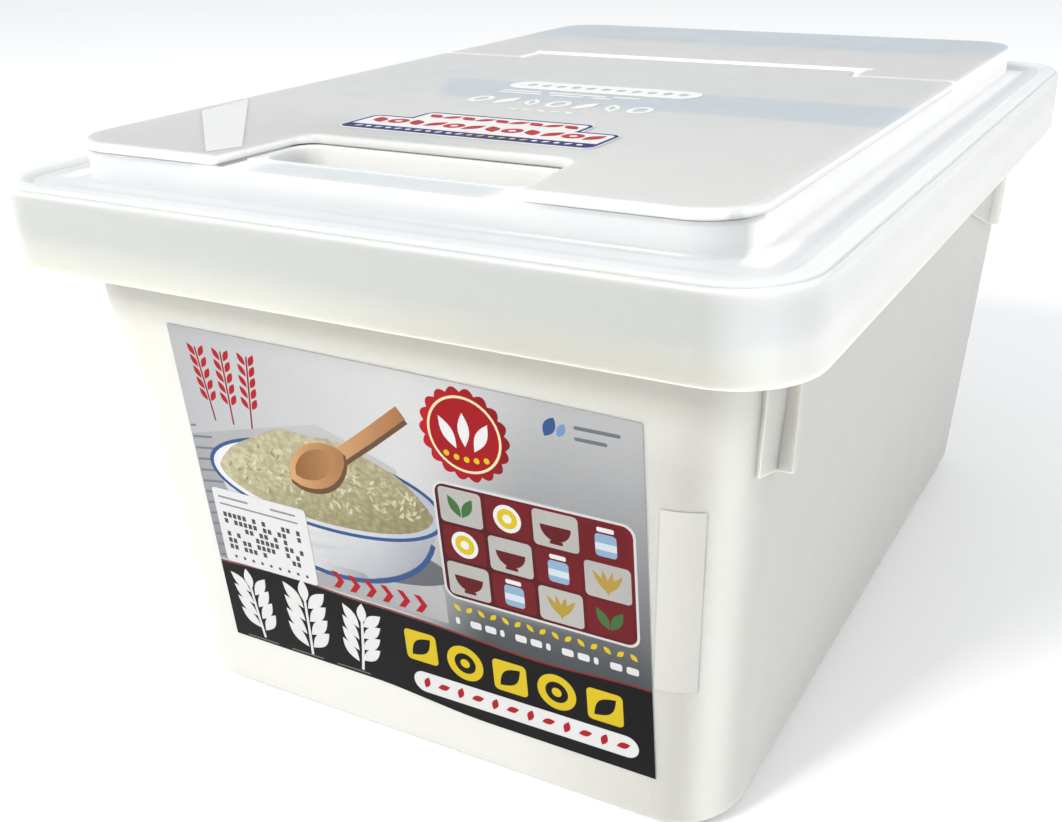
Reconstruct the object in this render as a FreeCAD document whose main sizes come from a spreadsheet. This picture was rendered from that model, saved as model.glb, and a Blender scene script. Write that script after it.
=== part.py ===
import FreeCAD, Part
import Sketcher
import math
import os

from FreeCAD import Placement, Rotation, Vector

# Lidded rice bin that stands in a kitchen drawer: a tapered tub with a flanged
# rim, a lift-off lid with a deep skirt, and a hinged flap over the rice opening.
# Millimetres. Origin at the bottom centre, +Z up, the labelled front faces -Y.

doc = FreeCAD.newDocument("rice_bin")
sheet = doc.addObject("Spreadsheet::Sheet", "dims")
V = {}


def cell(alias, value, note=""):
    row = len(V) + 1
    V[alias] = float(value)
    sheet.set("A%d" % row, "%.6g" % value)
    sheet.setAlias("A%d" % row, alias)
    sheet.set("B%d" % row, note or alias)


# ---- driving dimensions ----
# tub
cell("tub_foot_x", 91.3, "half width of the tub at the floor")
cell("tub_foot_y", 135.5, "half depth of the tub at the floor")
cell("tub_rim_x", 102.73, "half width of the tub wall at the rim")
cell("tub_rim_y", 148.18, "half depth of the tub wall at the rim")
cell("tub_foot_round", 19.6, "plan corner radius at the floor")
cell("tub_rim_round", 21.2, "plan corner radius at the rim")
cell("tub_rim_z", 159.6, "top of the rim")
cell("tub_wall", 2.0, "wall thickness")
cell("tub_floor", 2.2, "floor thickness")
cell("tub_cavity_x", 100.73, "half width of the cavity at the rim")
cell("tub_cavity_y", 146.18, "half depth of the cavity at the rim")
cell("tub_cavity_foot_x", 89.46, "half width of the cavity at the floor")
cell("tub_cavity_foot_y", 133.67, "half depth of the cavity at the floor")
cell("tub_edge_round", 8.0, "outer radius of the bottom edge")
cell("tub_inner_round", 6.0, "inner radius of the bottom edge")
cell("flange_x", 111.4, "half width of the rim flange")
cell("flange_y", 158.9, "half depth of the rim flange")
cell("flange_round", 18.3, "plan corner radius of the flange")
cell("flange_thick", 1.5, "flange thickness")
cell("flange_inner_x", 101.9, "flange inner edge, buried in the wall")
cell("flange_inner_y", 147.35, "flange inner edge, buried in the wall")
cell("flange_inner_round", 20.3, "plan corner radius of that edge")
cell("lip_low", 149.5, "lower edge of the turned-down lip")
# lugs on the two long sides
cell("lug_low", 109.5, "lower end of the lugs")
cell("lug_top", 158.6, "upper end of the lugs, in the flange")
cell("lug_out", 106.0, "outer edge of the lug plate at its top")
cell("lug_out_low", 103.7, "outer edge of the lug plate at its foot")
cell("lug_thick", 2.4, "thickness of the lug plate")
cell("lug_root_low", 98.2, "root of the lug in the wall, lower end")
cell("lug_root_top", 101.6, "root of the lug in the wall, upper end")
cell("pad_low", 100.35, "face of the raised pad, lower end")
cell("pad_top", 103.9, "face of the raised pad, upper end")
cell("lug_front_y", -125.8, "rear face of the front lug")
cell("lug_rear_y", 109.7, "rear face of the rear lug")
# lid
cell("lid_x", 114.0, "half width of the lid, half of 228")
cell("lid_y", 161.5, "half depth of the lid, half of 323")
cell("lid_round", 20.9, "plan corner radius of the lid")
cell("overall_high", 172.0, "top of the lid and overall height")
cell("skirt_low", 141.1, "lower edge of the skirt")
cell("skirt_top", 161.7, "top of the skirt")
cell("skirt_wall", 1.8, "skirt thickness")
cell("lid_under", 159.9, "underside of the trough, over the rim")
cell("bead_inset", 1.35, "bead set in from the skirt")
cell("bead_top", 162.8, "top of the bead")
cell("slope_inset_top", 4.1, "inner slope of the bead, carried up")
cell("slope_z_top", 163.2, "height of that line")
cell("slope_inset_low", 7.5, "foot of the slope")
cell("trough_z", 161.5, "trough round the deck")
cell("deck_x", 96.5, "half width of the deck")
cell("deck_y", 144.0, "half depth of the deck")
cell("deck_round", 15.0, "plan corner radius of the deck")
cell("collar_z", 169.2, "top of the wall that the flap closes on")
cell("deck_under", 170.2, "underside of the rear deck")
cell("plate_top", 166.8, "plate with the rice opening, upper face")
cell("plate_low", 165.0, "plate with the rice opening, lower face")
cell("ring_x", 99.3, "locating ring, outer half width")
cell("ring_y", 144.8, "locating ring, outer half depth")
cell("ring_round", 16.6, "locating ring, plan corner radius")
cell("ring_wall", 1.5, "locating ring thickness")
cell("ring_low", 154.5, "locating ring lower edge")
cell("lid_shell", 2.0, "wall thickness of the deck")
# rice opening and gasket
cell("mouth_x", 83.0, "half width of the rice opening")
cell("mouth_front", -101.0, "front edge of the rice opening")
cell("mouth_rear", 26.0, "rear edge of the rice opening")
cell("mouth_round", 18.0, "corner radius of the rice opening")
cell("mouth_lip", 1.8, "thickness of the lip round the opening")
cell("mouth_lip_low", 160.0, "lower edge of that lip")
cell("gasket_gap", 1.5, "gasket set out from the opening")
cell("gasket_wide", 4.2, "gasket width")
cell("gasket_top", 169.2, "gasket crest")
# finger well
cell("well_x", 40.3, "half width of the finger well")
cell("well_front", -131.2, "front wall of the well")
cell("well_rear", -112.5, "rear wall of the well")
cell("well_floor", 155.0, "floor of the well")
cell("well_round", 6.5, "corner radius of the well")
cell("well_wall", 2.0, "wall round the well")
cell("well_under", 153.2, "underside of the well")
cell("notch_x", 41.4, "half width of the notch in the flap at its rear")
cell("notch_mouth", 43.8, "half width of the notch at the flap's front edge")
cell("notch_rear", -111.5, "rear edge of the notch")
cell("notch_round", 6.0, "corner radius of the notch")
cell("ledge_z", 168.9, "ledge in front of the well")
# hinge
cell("hinge_y", 46.0, "hinge axis")
cell("hinge_z", 166.5, "hinge axis")
cell("barrel_round", 3.0, "barrel radius")
cell("barrel_x", 58.0, "half length of the barrel")
cell("pin_round", 2.0, "pin radius")
cell("pin_x", 65.2, "half length over the pins")
cell("pin_bore", 2.05, "bearing hole radius")
cell("tongue_x", 61.0, "half width of the flap's tongue")
cell("tongue_rear", 49.5, "rear edge of the tongue")
cell("recess_x", 62.5, "half width of the hinge recess")
cell("recess_front", 38.6, "front wall of the hinge recess")
cell("recess_rear", 54.0, "rear wall of the hinge recess")
cell("recess_floor", 157.5, "floor of the hinge recess")
cell("recess_under", 155.9, "underside of the hinge recess")
cell("cheek_x", 65.5, "outer face of the hinge cheeks")
cell("deck_front", 40.0, "front edge of the fixed rear deck")
cell("flap_rear", 38.0, "rear edge of the flap beside the tongue")
cell("flap_low", 169.5, "underside of the flap")
cell("rib_inset", 2.0, "stiffening rib under the flap, set in from the rice opening")
cell("rib_thick", 1.2, "rib thickness")
cell("rib_low", 167.3, "lower edge of the rib")
# films
cell("film", 0.2, "thickness of labels")
cell("tape", 0.12, "thickness of tape")
# cup
cell("cup_top_x", 31.0, "half width of the cup at the brim")
cell("cup_top_y", 31.0, "half depth of the cup at the brim")
cell("cup_foot_x", 26.0, "half width of the cup at the floor")
cell("cup_foot_y", 27.0, "half depth of the cup at the floor")
cell("cup_high", 68.0, "cup height")
cell("cup_wall", 1.3, "cup wall")
cell("cup_corner", 7.0, "cup corner radius")
cell("cup_slant", 10.0, "slanted lower corner of the cup")
cell("cup_tab", 17.0, "length of the cup's handle tab")


# edge rounds and the smaller pieces
cell("edge_small", 0.5, "small edge round")
cell("edge_mid", 0.9, "edge round of the flap and skirt")
cell("edge_large", 1.3, "inner edge round")
cell("pad_rear_long", 46.0, "length of the pad before the rear lug")
cell("pad_slant", 15.5, "rise of the pad's foot over that length")
cell("pad_low_front", 101.5, "face of the raised pad at its risen foot")
cell("lug_root_front", 99.3, "root of the raised pad at its risen foot")
cell("wrap_deg", 28.0, "how far the front pad wraps the corner")
cell("pad_proud", 1.2, "height of the raised pads")
cell("tape_low", 49.0, "side tape, lower end")
cell("tape_top", 102.0, "side tape, upper end")
cell("cup_knee_z", 12.0, "height of the cup's slanted foot")
cell("cup_knee_x", 26.9, "half width of the cup above it")
cell("cup_knee_y", 27.7, "half depth of the cup above it")

slope = math.degrees(math.atan((V["tub_rim_y"] - V["tub_foot_y"]) / V["tub_rim_z"]))
k = 1 / math.cos(math.radians(slope))
for nm, x, z in (("tl", -66.5, 124.9), ("tr", 74.5, 123.1), ("br", 74.5, 18.2), ("bl", -66.5, 21.3)):
    cell("label_%s_x" % nm, x, "label corner, across")
    cell("label_%s_up" % nm, z * k, "label corner, up the wall")
cell("data_left", -63.4, "data sticker, side")
cell("data_right", -29.6, "data sticker, side")
cell("data_low", 50.2 * k, "data sticker, lower edge")
cell("data_top", 75.4 * k, "data sticker, upper edge")
for nm, v in (("left", -39.6), ("right", 39.4), ("front", -101.0), ("step", -82.0), ("rear", -72.6),
              ("step_left", -27.5), ("step_right", 27.0), ("round", 3.4)):
    cell("sticker_" + nm, v, "flap sticker outline")
for i, (x, y) in enumerate(((-91.8, -97.2), (-47.6, -141.6), (-42.4, -132.5), (-93.6, -75.0))):
    cell("strip_x_%s" % "abcd"[i], x, "tape strip corner")
    cell("strip_y_%s" % "abcd"[i], y, "tape strip corner")


def val(text):
    """Number of a sum of cells and plain numbers."""
    total, sign = 0.0, 1.0
    for word in text.split():
        if word in "+-":
            sign = 1.0 if word == "+" else -1.0
            continue
        term = V[word] if word in V else float(word)
        total += sign * term
        sign = 1.0
    return total


def expr(text):
    """The same sum as an expression on the sheet."""
    return " ".join("dims." + w if w in V else w for w in text.split())


def body(name):
    b = doc.addObject("PartDesign::Body", name)
    b.Label = name
    return b


def plane(b, role):
    for f in b.Origin.OriginFeatures:
        if f.Role == role:
            return f


class Drawing:
    """A sketch on one of a body's own planes, with every size on the sheet."""

    def __init__(self, b, name, role="XY_Plane", off="0"):
        self.n = 0
        if b is None:
            self.s = doc.addObject("Sketcher::SketchObject", name)
            self.s.Placement = Placement(Vector(0, 0, val(off)), Rotation())
            self.s.setExpression("Placement.Base.z", expr(off))
            return
        self.s = b.newObject("Sketcher::SketchObject", name)
        self.s.AttachmentSupport = [(plane(b, role), "")]
        self.s.MapMode = "FlatFace"
        self.s.AttachmentOffset = Placement(Vector(0, 0, val(off)), Rotation())
        self.s.setExpression("AttachmentOffset.Base.z", expr(off))

    def size(self, kind, args, text):
        i = self.s.addConstraint(Sketcher.Constraint(kind, *args, val(text)))
        self.n += 1
        nm = "k%d" % self.n
        self.s.renameConstraint(i, nm)
        self.s.setExpression("Constraints." + nm, expr(text))

    def rule(self, *args):
        self.s.addConstraint(Sketcher.Constraint(*args))

    def outline(self, pts):
        """Closed outline; each point is (x, y) or (x, y, corner radius)."""
        n = len(pts)
        xy = [Vector(val(p[0]), val(p[1]), 0) for p in pts]
        rad = [val(p[2]) if len(p) > 2 and p[2] else 0.0 for p in pts]
        start, end, mid = {}, {}, {}
        for i in range(n):
            a, p, c = xy[i - 1], xy[i], xy[(i + 1) % n]
            if rad[i] == 0.0:
                end[i], start[i] = p, p
                continue
            u, w = (a - p).normalize(), (c - p).normalize()
            half = u.getAngle(w) / 2
            t = rad[i] / math.tan(half)
            end[i], start[i] = p + u * t, p + w * t
            mid[i] = p + (u + w).normalize() * (rad[i] / math.sin(half))
        line = {}
        for i in range(n):
            line[i] = self.s.addGeometry(Part.LineSegment(start[i], end[(i + 1) % n]), False)
        flat = {}
        for i in range(n):
            d = xy[(i + 1) % n] - xy[i]
            flat[i] = "h" if abs(d.y) < 1e-9 else "v" if abs(d.x) < 1e-9 else ""
            if flat[i] == "h":
                self.rule("Horizontal", line[i])
                self.size("DistanceY", (-1, 1, line[i], 1), pts[i][1])
            elif flat[i] == "v":
                self.rule("Vertical", line[i])
                self.size("DistanceX", (-1, 1, line[i], 1), pts[i][0])
        for i in range(n):
            j = (i - 1) % n
            if rad[i] == 0.0:
                self.rule("Coincident", line[j], 2, line[i], 1)
                got = flat[i] + flat[j]
                if "v" not in got:
                    self.size("DistanceX", (-1, 1, line[i], 1), pts[i][0])
                if "h" not in got:
                    self.size("DistanceY", (-1, 1, line[i], 1), pts[i][1])
                continue
            c = mid[i]
            e, st = end[i] - c, start[i] - c
            left = e.cross(st).z > 0
            p0, p1 = (e, st) if left else (st, e)
            a0, a1 = math.atan2(p0.y, p0.x), math.atan2(p1.y, p1.x)
            arc = self.s.addGeometry(Part.ArcOfCircle(
                Part.Circle(c, Vector(0, 0, 1), rad[i]), a0, a1 if a1 > a0 else a1 + 2 * math.pi), False)
            first, last = (1, 2) if left else (2, 1)
            self.rule("Tangent", line[j], 2, arc, first)
            self.rule("Tangent", arc, last, line[i], 1)
            self.size("Radius", (arc,), pts[i][2])
        return self

    def block(self, x0, x1, y0, y1, r=None):
        return self.outline([(x0, y0, r), (x1, y0, r), (x1, y1, r), (x0, y1, r)])

    def centred(self, hx, hy, r):
        return self.block(neg(hx), hx, neg(hy), hy, r)

    def circle(self, x, y, r):
        g = self.s.addGeometry(Part.Circle(Vector(val(x), val(y), 0), Vector(0, 0, 1), val(r)), False)
        self.size("DistanceX", (-1, 1, g, 3), x)
        self.size("DistanceY", (-1, 1, g, 3), y)
        self.size("Radius", (g,), r)
        return self


def neg(text):
    """Minus a sum of cells."""
    out = []
    words = text.split()
    if words[0] not in "+-":
        words = ["+"] + words
    for w in words:
        out.append({"+": "-", "-": "+"}.get(w, w))
    return " ".join(out)


def feature(b, kind, name, drawing, length, up=True, cut=False):
    f = b.newObject("PartDesign::" + kind, name)
    f.Profile = drawing.s
    f.Length = val(length)
    f.setExpression("Length", expr(length))
    f.Reversed = (cut == up)
    drawing.s.Visibility = False
    doc.recompute()
    return f


def pad(b, name, drawing, length, up=True):
    before = vol(b)
    f = feature(b, "Pad", name, drawing, length, up)
    need(vol(b) > before + 1e-3, name + " adds nothing")
    return f


def pocket(b, name, drawing, length, up=True):
    before = vol(b)
    f = feature(b, "Pocket", name, drawing, length, up, True)
    need(vol(b) < before - 1e-3, name + " cuts nothing")
    return f


def loft(b, name, kind, first, others):
    before = vol(b)
    f = b.newObject("PartDesign::" + kind, name)
    f.Profile = first.s
    f.Sections = [o.s for o in others]
    f.Ruled = True
    doc.recompute()
    need(abs(vol(b) - before) > 1e-3, name + " changes nothing")
    return f


def vol(b):
    return b.Shape.Volume if b.Tip is not None and not b.Shape.isNull() else 0.0


def need(ok, message):
    if not ok:
        raise RuntimeError(message)


def edges(b, test):
    """Names of the tip's edges that pass a test on (bounding box, edge)."""
    return ["Edge%d" % (i + 1) for i, e in enumerate(b.Tip.Shape.Edges)
            if e.Length > 1e-4 and test(e.BoundBox, e)]


def fillet(b, name, names, radius, kind="Fillet"):
    need(names, name + " found no edge")
    base = b.Tip
    f = b.newObject("PartDesign::" + kind, name)
    f.Base = (base, names)
    prop = "Radius" if kind == "Fillet" else "Size"
    setattr(f, prop, val(radius))
    f.setExpression(prop, expr(radius))
    doc.recompute()
    need("Invalid" not in f.State and "Error" not in f.State and f.Shape.isValid(), name + " failed")
    return f


def at(value, target, tol=0.02):
    return abs(value - target) < tol


def level(z, tol=0.02):
    return lambda bb, e: at(bb.ZMin, z, tol) and at(bb.ZMax, z, tol)



# ================================================================ bin_body
def tapered(name, low, top, edge):
    """Tapered block between two drawings, its foot edge rounded."""
    lo = doc.addObject("Part::Loft", name + "_loft")
    lo.Sections = [low.s, top.s]
    lo.Solid = True
    lo.Ruled = True
    doc.recompute()
    fi = doc.addObject("Part::Fillet", name)
    fi.Base = lo
    z = lo.Shape.BoundBox.ZMin
    fi.Edges = [(i + 1, val(edge), val(edge)) for i, e in enumerate(lo.Shape.Edges)
                if e.BoundBox.ZMax < z + 0.01]
    doc.recompute()
    need(fi.Shape.isValid() and fi.Shape.Volume < lo.Shape.Volume, name + " failed")
    return fi


a = Drawing(None, "tub_foot").centred("tub_foot_x", "tub_foot_y", "tub_foot_round")
c = Drawing(None, "tub_mouth", off="tub_rim_z").centred("tub_rim_x", "tub_rim_y", "tub_rim_round")
outside = tapered("tub_outside", a, c, "tub_edge_round")
a = Drawing(None, "cavity_foot", off="tub_floor").centred(
    "tub_cavity_foot_x", "tub_cavity_foot_y", "tub_foot_round - tub_wall")
c = Drawing(None, "cavity_mouth", off="tub_rim_z").centred(
    "tub_cavity_x", "tub_cavity_y", "tub_rim_round - tub_wall")
inside = tapered("tub_inside", a, c, "tub_inner_round")
shell = doc.addObject("Part::Cut", "tub_shell")
shell.Base, shell.Tool = outside, inside
doc.recompute()
tub = body("bin_body")
tub.BaseFeature = shell
doc.recompute()
d = Drawing(tub, "flange_plan", off="tub_rim_z - flange_thick")
d.centred("flange_x", "flange_y", "flange_round")
d.centred("flange_inner_x", "flange_inner_y", "flange_inner_round")
pad(tub, "flange", d, "flange_thick")
d = Drawing(tub, "lip_plan", off="lip_low")
d.centred("flange_x", "flange_y", "flange_round")
d.centred("flange_x - flange_thick", "flange_y - flange_thick", "flange_round - flange_thick")
pad(tub, "lip", d, "tub_rim_z - lip_low")
fillet(tub, "flange_edge", edges(tub, lambda bb, e: level(V["tub_rim_z"])(bb, e) and (
    bb.XMax > V["flange_x"] - 19 or bb.XMin < -V["flange_x"] + 19 or bb.YMax > V["flange_y"] - 1)
    and (abs(bb.XMax) > 103.2 or abs(bb.XMin) > 103.2 or abs(bb.YMax) > 148.6 or abs(bb.YMin) > 148.6)),
    "edge_small")

# lug plates, one pair before and one behind the middle of the long sides
for tag, face in (("front", "lug_front_y"), ("rear", "lug_rear_y")):
    d = Drawing(tub, "lug_%s_shape" % tag, "XZ_Plane", neg(face))
    d.outline([("lug_root_low", "lug_low"), ("lug_out_low", "lug_low"),
               ("lug_out", "lug_top"), ("lug_root_top", "lug_top")])
    d.outline([(neg("lug_root_low"), "lug_low"), (neg("lug_root_top"), "lug_top"),
               (neg("lug_out"), "lug_top"), (neg("lug_out_low"), "lug_low")])
    pad(tub, "lug_" + tag, d, "lug_thick")

# raised pads before the rear lugs, their foot rising forward
for side, tag in ((1, "right"), (-1, "left")):
    pair = []
    for end, root, face, low in (("back", "lug_root_low", "pad_low", "lug_low"),
                                 ("front", "lug_root_front", "pad_low_front", "lug_low + pad_slant")):
        off = "lug_rear_y - lug_thick" + ("" if end == "back" else " - pad_rear_long")
        d = Drawing(tub, "pad_%s_%s" % (tag, end), "XZ_Plane", neg(off))
        pts = [(root, low), (face, low), ("pad_top", "lug_top"), ("lug_root_top", "lug_top")]
        if side < 0:
            pts = [(neg(x), z) for x, z in pts][::-1]
        d.outline(pts)
        pair.append(d)
    loft(tub, "pad_rear_" + tag, "AdditiveLoft", pair[0], [pair[1]])

# raised pads before the front lugs, wrapping the front corners


def corner(z):
    """Centre and radius of the tub's plan corner at a height."""
    t = z / V["tub_rim_z"]
    hx = V["tub_foot_x"] + (V["tub_rim_x"] - V["tub_foot_x"]) * t
    hy = V["tub_foot_y"] + (V["tub_rim_y"] - V["tub_foot_y"]) * t
    r = V["tub_foot_round"] + (V["tub_rim_round"] - V["tub_foot_round"]) * t
    return hx - r, hy - r, r


def sector(b, name, z, deg0, deg1, deep, proud, side):
    """Curved strip on a front corner of the tub between two plan angles."""
    cx, cy, r = corner(val(z))
    d = Drawing(b, name, off=z)
    g = d.s
    c0 = Vector(side * cx, -cy, 0)
    if side > 0:
        a0, a1 = math.radians(deg0), math.radians(deg1)
    else:
        a0, a1 = math.radians(540 - deg1), math.radians(540 - deg0)

    def ray(rad, ang):
        return c0 + Vector(rad * math.cos(ang), rad * math.sin(ang), 0)

    r0, r1 = r - deep, r + proud
    o = g.addGeometry(Part.ArcOfCircle(Part.Circle(c0, Vector(0, 0, 1), r1), a0, a1), False)
    i = g.addGeometry(Part.ArcOfCircle(Part.Circle(c0, Vector(0, 0, 1), r0), a0, a1), False)
    e = g.addGeometry(Part.LineSegment(ray(r1, a1), ray(r0, a1)), False)
    f = g.addGeometry(Part.LineSegment(ray(r0, a0), ray(r1, a0)), False)
    d.rule("Coincident", o, 2, e, 1)
    d.rule("Coincident", e, 2, i, 2)
    d.rule("Coincident", i, 1, f, 1)
    d.rule("Coincident", f, 2, o, 1)
    for k in (o, i, e, f):
        d.rule("Block", k)
    return d


for side, tag in ((1, "right"), (-1, "left")):
    lo = sector(tub, "wrap_low_" + tag, "lug_low", 360 - V["wrap_deg"], 360, 0.9, V["pad_proud"], side)
    hi = sector(tub, "wrap_top_" + tag, "lug_top", 360 - V["wrap_deg"], 360, 0.9, V["pad_proud"] + 0.6, side)
    loft(tub, "pad_front_" + tag, "AdditiveLoft", lo, [hi])

# ================================================================ lid_frame
lid = body("lid_frame")
d = Drawing(lid, "skirt_plan", off="skirt_low").centred("lid_x", "lid_y", "lid_round")
pad(lid, "skirt", d, "skirt_top - skirt_low")
fillet(lid, "skirt_edge", edges(lid, level(V["skirt_top"])), "edge_mid")
d = Drawing(lid, "bead_plan", off="skirt_top - 1").centred(
    "lid_x - bead_inset", "lid_y - bead_inset", "lid_round - bead_inset")
pad(lid, "bead", d, "bead_top - skirt_top + 1")
fillet(lid, "bead_edge", edges(lid, level(V["bead_top"])), "edge_small")
a = Drawing(lid, "slope_low", off="trough_z").centred(
    "lid_x - slope_inset_low", "lid_y - slope_inset_low", "lid_round - slope_inset_low")
c = Drawing(lid, "slope_top", off="slope_z_top").centred(
    "lid_x - slope_inset_top", "lid_y - slope_inset_top", "lid_round - slope_inset_top")
loft(lid, "trough", "SubtractiveLoft", a, [c])
d = Drawing(lid, "plateau_plan", off="trough_z - 1").centred("deck_x", "deck_y", "deck_round")
pad(lid, "plateau", d, "collar_z - trough_z + 1")
fillet(lid, "plateau_foot", edges(lid, lambda bb, e: level(V["trough_z"])(bb, e) and max(
    abs(bb.XMin), abs(bb.XMax)) < 97 and max(abs(bb.YMin), abs(bb.YMax)) < 145), "edge_large")
d = Drawing(lid, "deck_plan", off="collar_z")
d.outline([(neg("deck_x"), "deck_front"), (neg("recess_x"), "deck_front"), (neg("recess_x"), "recess_rear"),
           ("recess_x", "recess_rear"), ("recess_x", "deck_front"), ("deck_x", "deck_front"),
           ("deck_x", "deck_y", "deck_round"), (neg("deck_x"), "deck_y", "deck_round")])
pad(lid, "deck", d, "overall_high - collar_z")
fillet(lid, "deck_edge", edges(lid, level(V["overall_high"])), "edge_mid")
d = Drawing(lid, "skirt_inside", off="skirt_low").centred(
    "lid_x - skirt_wall", "lid_y - skirt_wall", "lid_round - skirt_wall")
pocket(lid, "skirt_hollow", d, "lid_under - skirt_low")
d = Drawing(lid, "plateau_inside", off="lid_under").centred(
    "deck_x - lid_shell", "deck_y - lid_shell", "deck_round - lid_shell")
pocket(lid, "plateau_hollow", d, "plate_low - lid_under")
d = Drawing(lid, "deck_inside", off="plate_low")
ix, iy = "deck_x - lid_shell", "deck_y - lid_shell"
d.outline([(neg(ix), "deck_front + lid_shell"), (neg("cheek_x"), "deck_front + lid_shell"),
           (neg("cheek_x"), "recess_rear + lid_shell"), ("cheek_x", "recess_rear + lid_shell"),
           ("cheek_x", "deck_front + lid_shell"), (ix, "deck_front + lid_shell"),
           (ix, iy, "deck_round - lid_shell"), (neg(ix), iy, "deck_round - lid_shell")])
pocket(lid, "deck_hollow", d, "deck_under - plate_low")
d = Drawing(lid, "tray_plan", off="plate_top")
wx, wy = "well_x + well_wall", "well_rear + well_wall"
d.outline([(neg(ix), "deck_front"), (neg(ix), neg(iy), "deck_round - lid_shell"), (neg(wx), neg(iy)),
           (neg(wx), wy, "well_round + well_wall"), (wx, wy, "well_round + well_wall"), (wx, neg(iy)),
           (ix, neg(iy), "deck_round - lid_shell"), (ix, "deck_front")])
pocket(lid, "tray", d, "collar_z - plate_top + 0.5")
d = Drawing(lid, "hinge_tub_plan", off="recess_under").block(
    neg("cheek_x"), "cheek_x", "recess_front - lid_shell", "recess_rear + lid_shell", "edge_large")
pad(lid, "hinge_tub", d, "plate_low - recess_under + 0.6")
d = Drawing(lid, "well_tub_plan", off="well_under").block(
    neg(wx), wx, "well_front - well_wall", wy, "well_round + well_wall")
pad(lid, "well_tub", d, "plate_low - well_under + 0.6")
d = Drawing(lid, "hinge_recess_plan", off="recess_floor").block(
    neg("recess_x"), "recess_x", "recess_front", "recess_rear")
pocket(lid, "hinge_recess", d, "overall_high - recess_floor + 1")
d = Drawing(lid, "well_plan", off="well_floor").block(
    neg("well_x"), "well_x", "well_front", "well_rear", "well_round")
pocket(lid, "finger_well", d, "collar_z - well_floor + 1")
d = Drawing(lid, "ledge_plan", off="ledge_z").block(
    neg("notch_mouth"), "notch_mouth", neg("deck_y + 1"), "well_front - well_wall")
pocket(lid, "finger_ledge", d, "collar_z - ledge_z + 1")
d = Drawing(lid, "mouth_plan", off="plate_low - 1").block(
    neg("mouth_x"), "mouth_x", "mouth_front", "mouth_rear", "mouth_round")
pocket(lid, "rice_mouth", d, "plate_top - plate_low + 2")
d = Drawing(lid, "mouth_lip_plan", off="mouth_lip_low")
d.block(neg("mouth_x + mouth_lip"), "mouth_x + mouth_lip", "mouth_front - mouth_lip",
        "mouth_rear + mouth_lip", "mouth_round + mouth_lip")
d.block(neg("mouth_x"), "mouth_x", "mouth_front", "mouth_rear", "mouth_round")
pad(lid, "mouth_rim", d, "plate_low - mouth_lip_low + 0.6")
d = Drawing(lid, "ring_plan", off="ring_low")
d.centred("ring_x", "ring_y", "ring_round")
d.centred("ring_x - ring_wall", "ring_y - ring_wall", "ring_round - ring_wall")
pad(lid, "locating_ring", d, "lid_under - ring_low + 0.6")
d = Drawing(lid, "bearing_shape", "YZ_Plane", neg("cheek_x + 0.3")).circle("hinge_y", "hinge_z", "pin_bore")
pocket(lid, "bearings", d, "cheek_x + cheek_x + 0.6")
fillet(lid, "well_floor_edge", edges(lid, lambda bb, e: level(V["well_floor"])(bb, e)), "edge_large")
lid_top = [e for e in edges(lid, lambda bb, e: level(V["collar_z"])(bb, e) and bb.YMax < V["well_rear"] + 0.1
                            and bb.YMin > V["well_front"] - 0.1 and abs(bb.XMin) < V["well_x"] + 0.1
                            and abs(bb.XMax) < V["well_x"] + 0.1)]
fillet(lid, "well_brim_edge", lid_top, "edge_small")

# ================================================================ gasket
seal = body("gasket")
d = Drawing(seal, "gasket_plan", off="plate_top")
for grow in ("gasket_gap + gasket_wide", "gasket_gap"):
    d.block(neg("mouth_x + " + grow), "mouth_x + " + grow, neg(neg("mouth_front") + " + " + grow),
            "mouth_rear + " + grow, "mouth_round + " + grow)
pad(seal, "gasket_ring", d, "gasket_top - plate_top")
fillet(seal, "gasket_crest", edges(seal, level(V["gasket_top"])), "edge_mid")

# ================================================================ lid_flap
flap = body("lid_flap")
d = Drawing(flap, "flap_plan", off="flap_low")
d.outline([(neg("deck_x"), "flap_rear", "edge_large"),
           (neg("deck_x"), neg("deck_y"), "deck_round"),
           (neg("notch_mouth"), neg("deck_y"), "edge_large"), (neg("notch_x"), "notch_rear", "notch_round"),
           ("notch_x", "notch_rear", "notch_round"), ("notch_mouth", neg("deck_y"), "edge_large"),
           ("deck_x", neg("deck_y"), "deck_round"), ("deck_x", "flap_rear", "edge_large"),
           ("tongue_x", "flap_rear"), ("tongue_x", "tongue_rear", "edge_large"),
           (neg("tongue_x"), "tongue_rear", "edge_large"), (neg("tongue_x"), "flap_rear")])
pad(flap, "flap_plate", d, "overall_high - flap_low")
fillet(flap, "flap_edge", edges(flap, level(V["overall_high"])), "edge_mid")
d = Drawing(flap, "web_plan", off="hinge_z").block(
    neg("barrel_x"), "barrel_x", "hinge_y - 1.6", "hinge_y + 1.6")
pad(flap, "hinge_web", d, "flap_low - hinge_z + 0.6")
d = Drawing(flap, "barrel_shape", "YZ_Plane", neg("barrel_x")).circle("hinge_y", "hinge_z", "barrel_round")
pad(flap, "hinge_barrel", d, "barrel_x + barrel_x")
d = Drawing(flap, "pin_shape", "YZ_Plane", neg("pin_x")).circle("hinge_y", "hinge_z", "pin_round")
pad(flap, "hinge_pins", d, "pin_x + pin_x")
d = Drawing(flap, "rib_plan", off="rib_low")
for inset in ("rib_inset", "rib_inset + rib_thick"):
    d.block(neg("mouth_x") + " + " + inset, "mouth_x + " + neg(inset), "mouth_front + " + inset,
            "mouth_rear + " + neg(inset), "mouth_round + " + neg(inset))
pad(flap, "flap_rib", d, "flap_low - rib_low + 0.5")

# ================================================================ films on the tub front


def front_film(name, pts, thick, lift=0.0):
    """Thin film in the plane of the tub's front wall; pts give x and height."""
    b = body(name)
    d = Drawing(b, name + "_outline", "XZ_Plane", "0")
    d.outline(pts)
    pad(b, name + "_film", d, thick)
    q = Rotation(Vector(1, 0, 0), slope)
    b.Placement = Placement(Vector(0, -V["tub_foot_y"], 0) + q.multVec(Vector(0, -lift, 0)), q)
    return b


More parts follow.
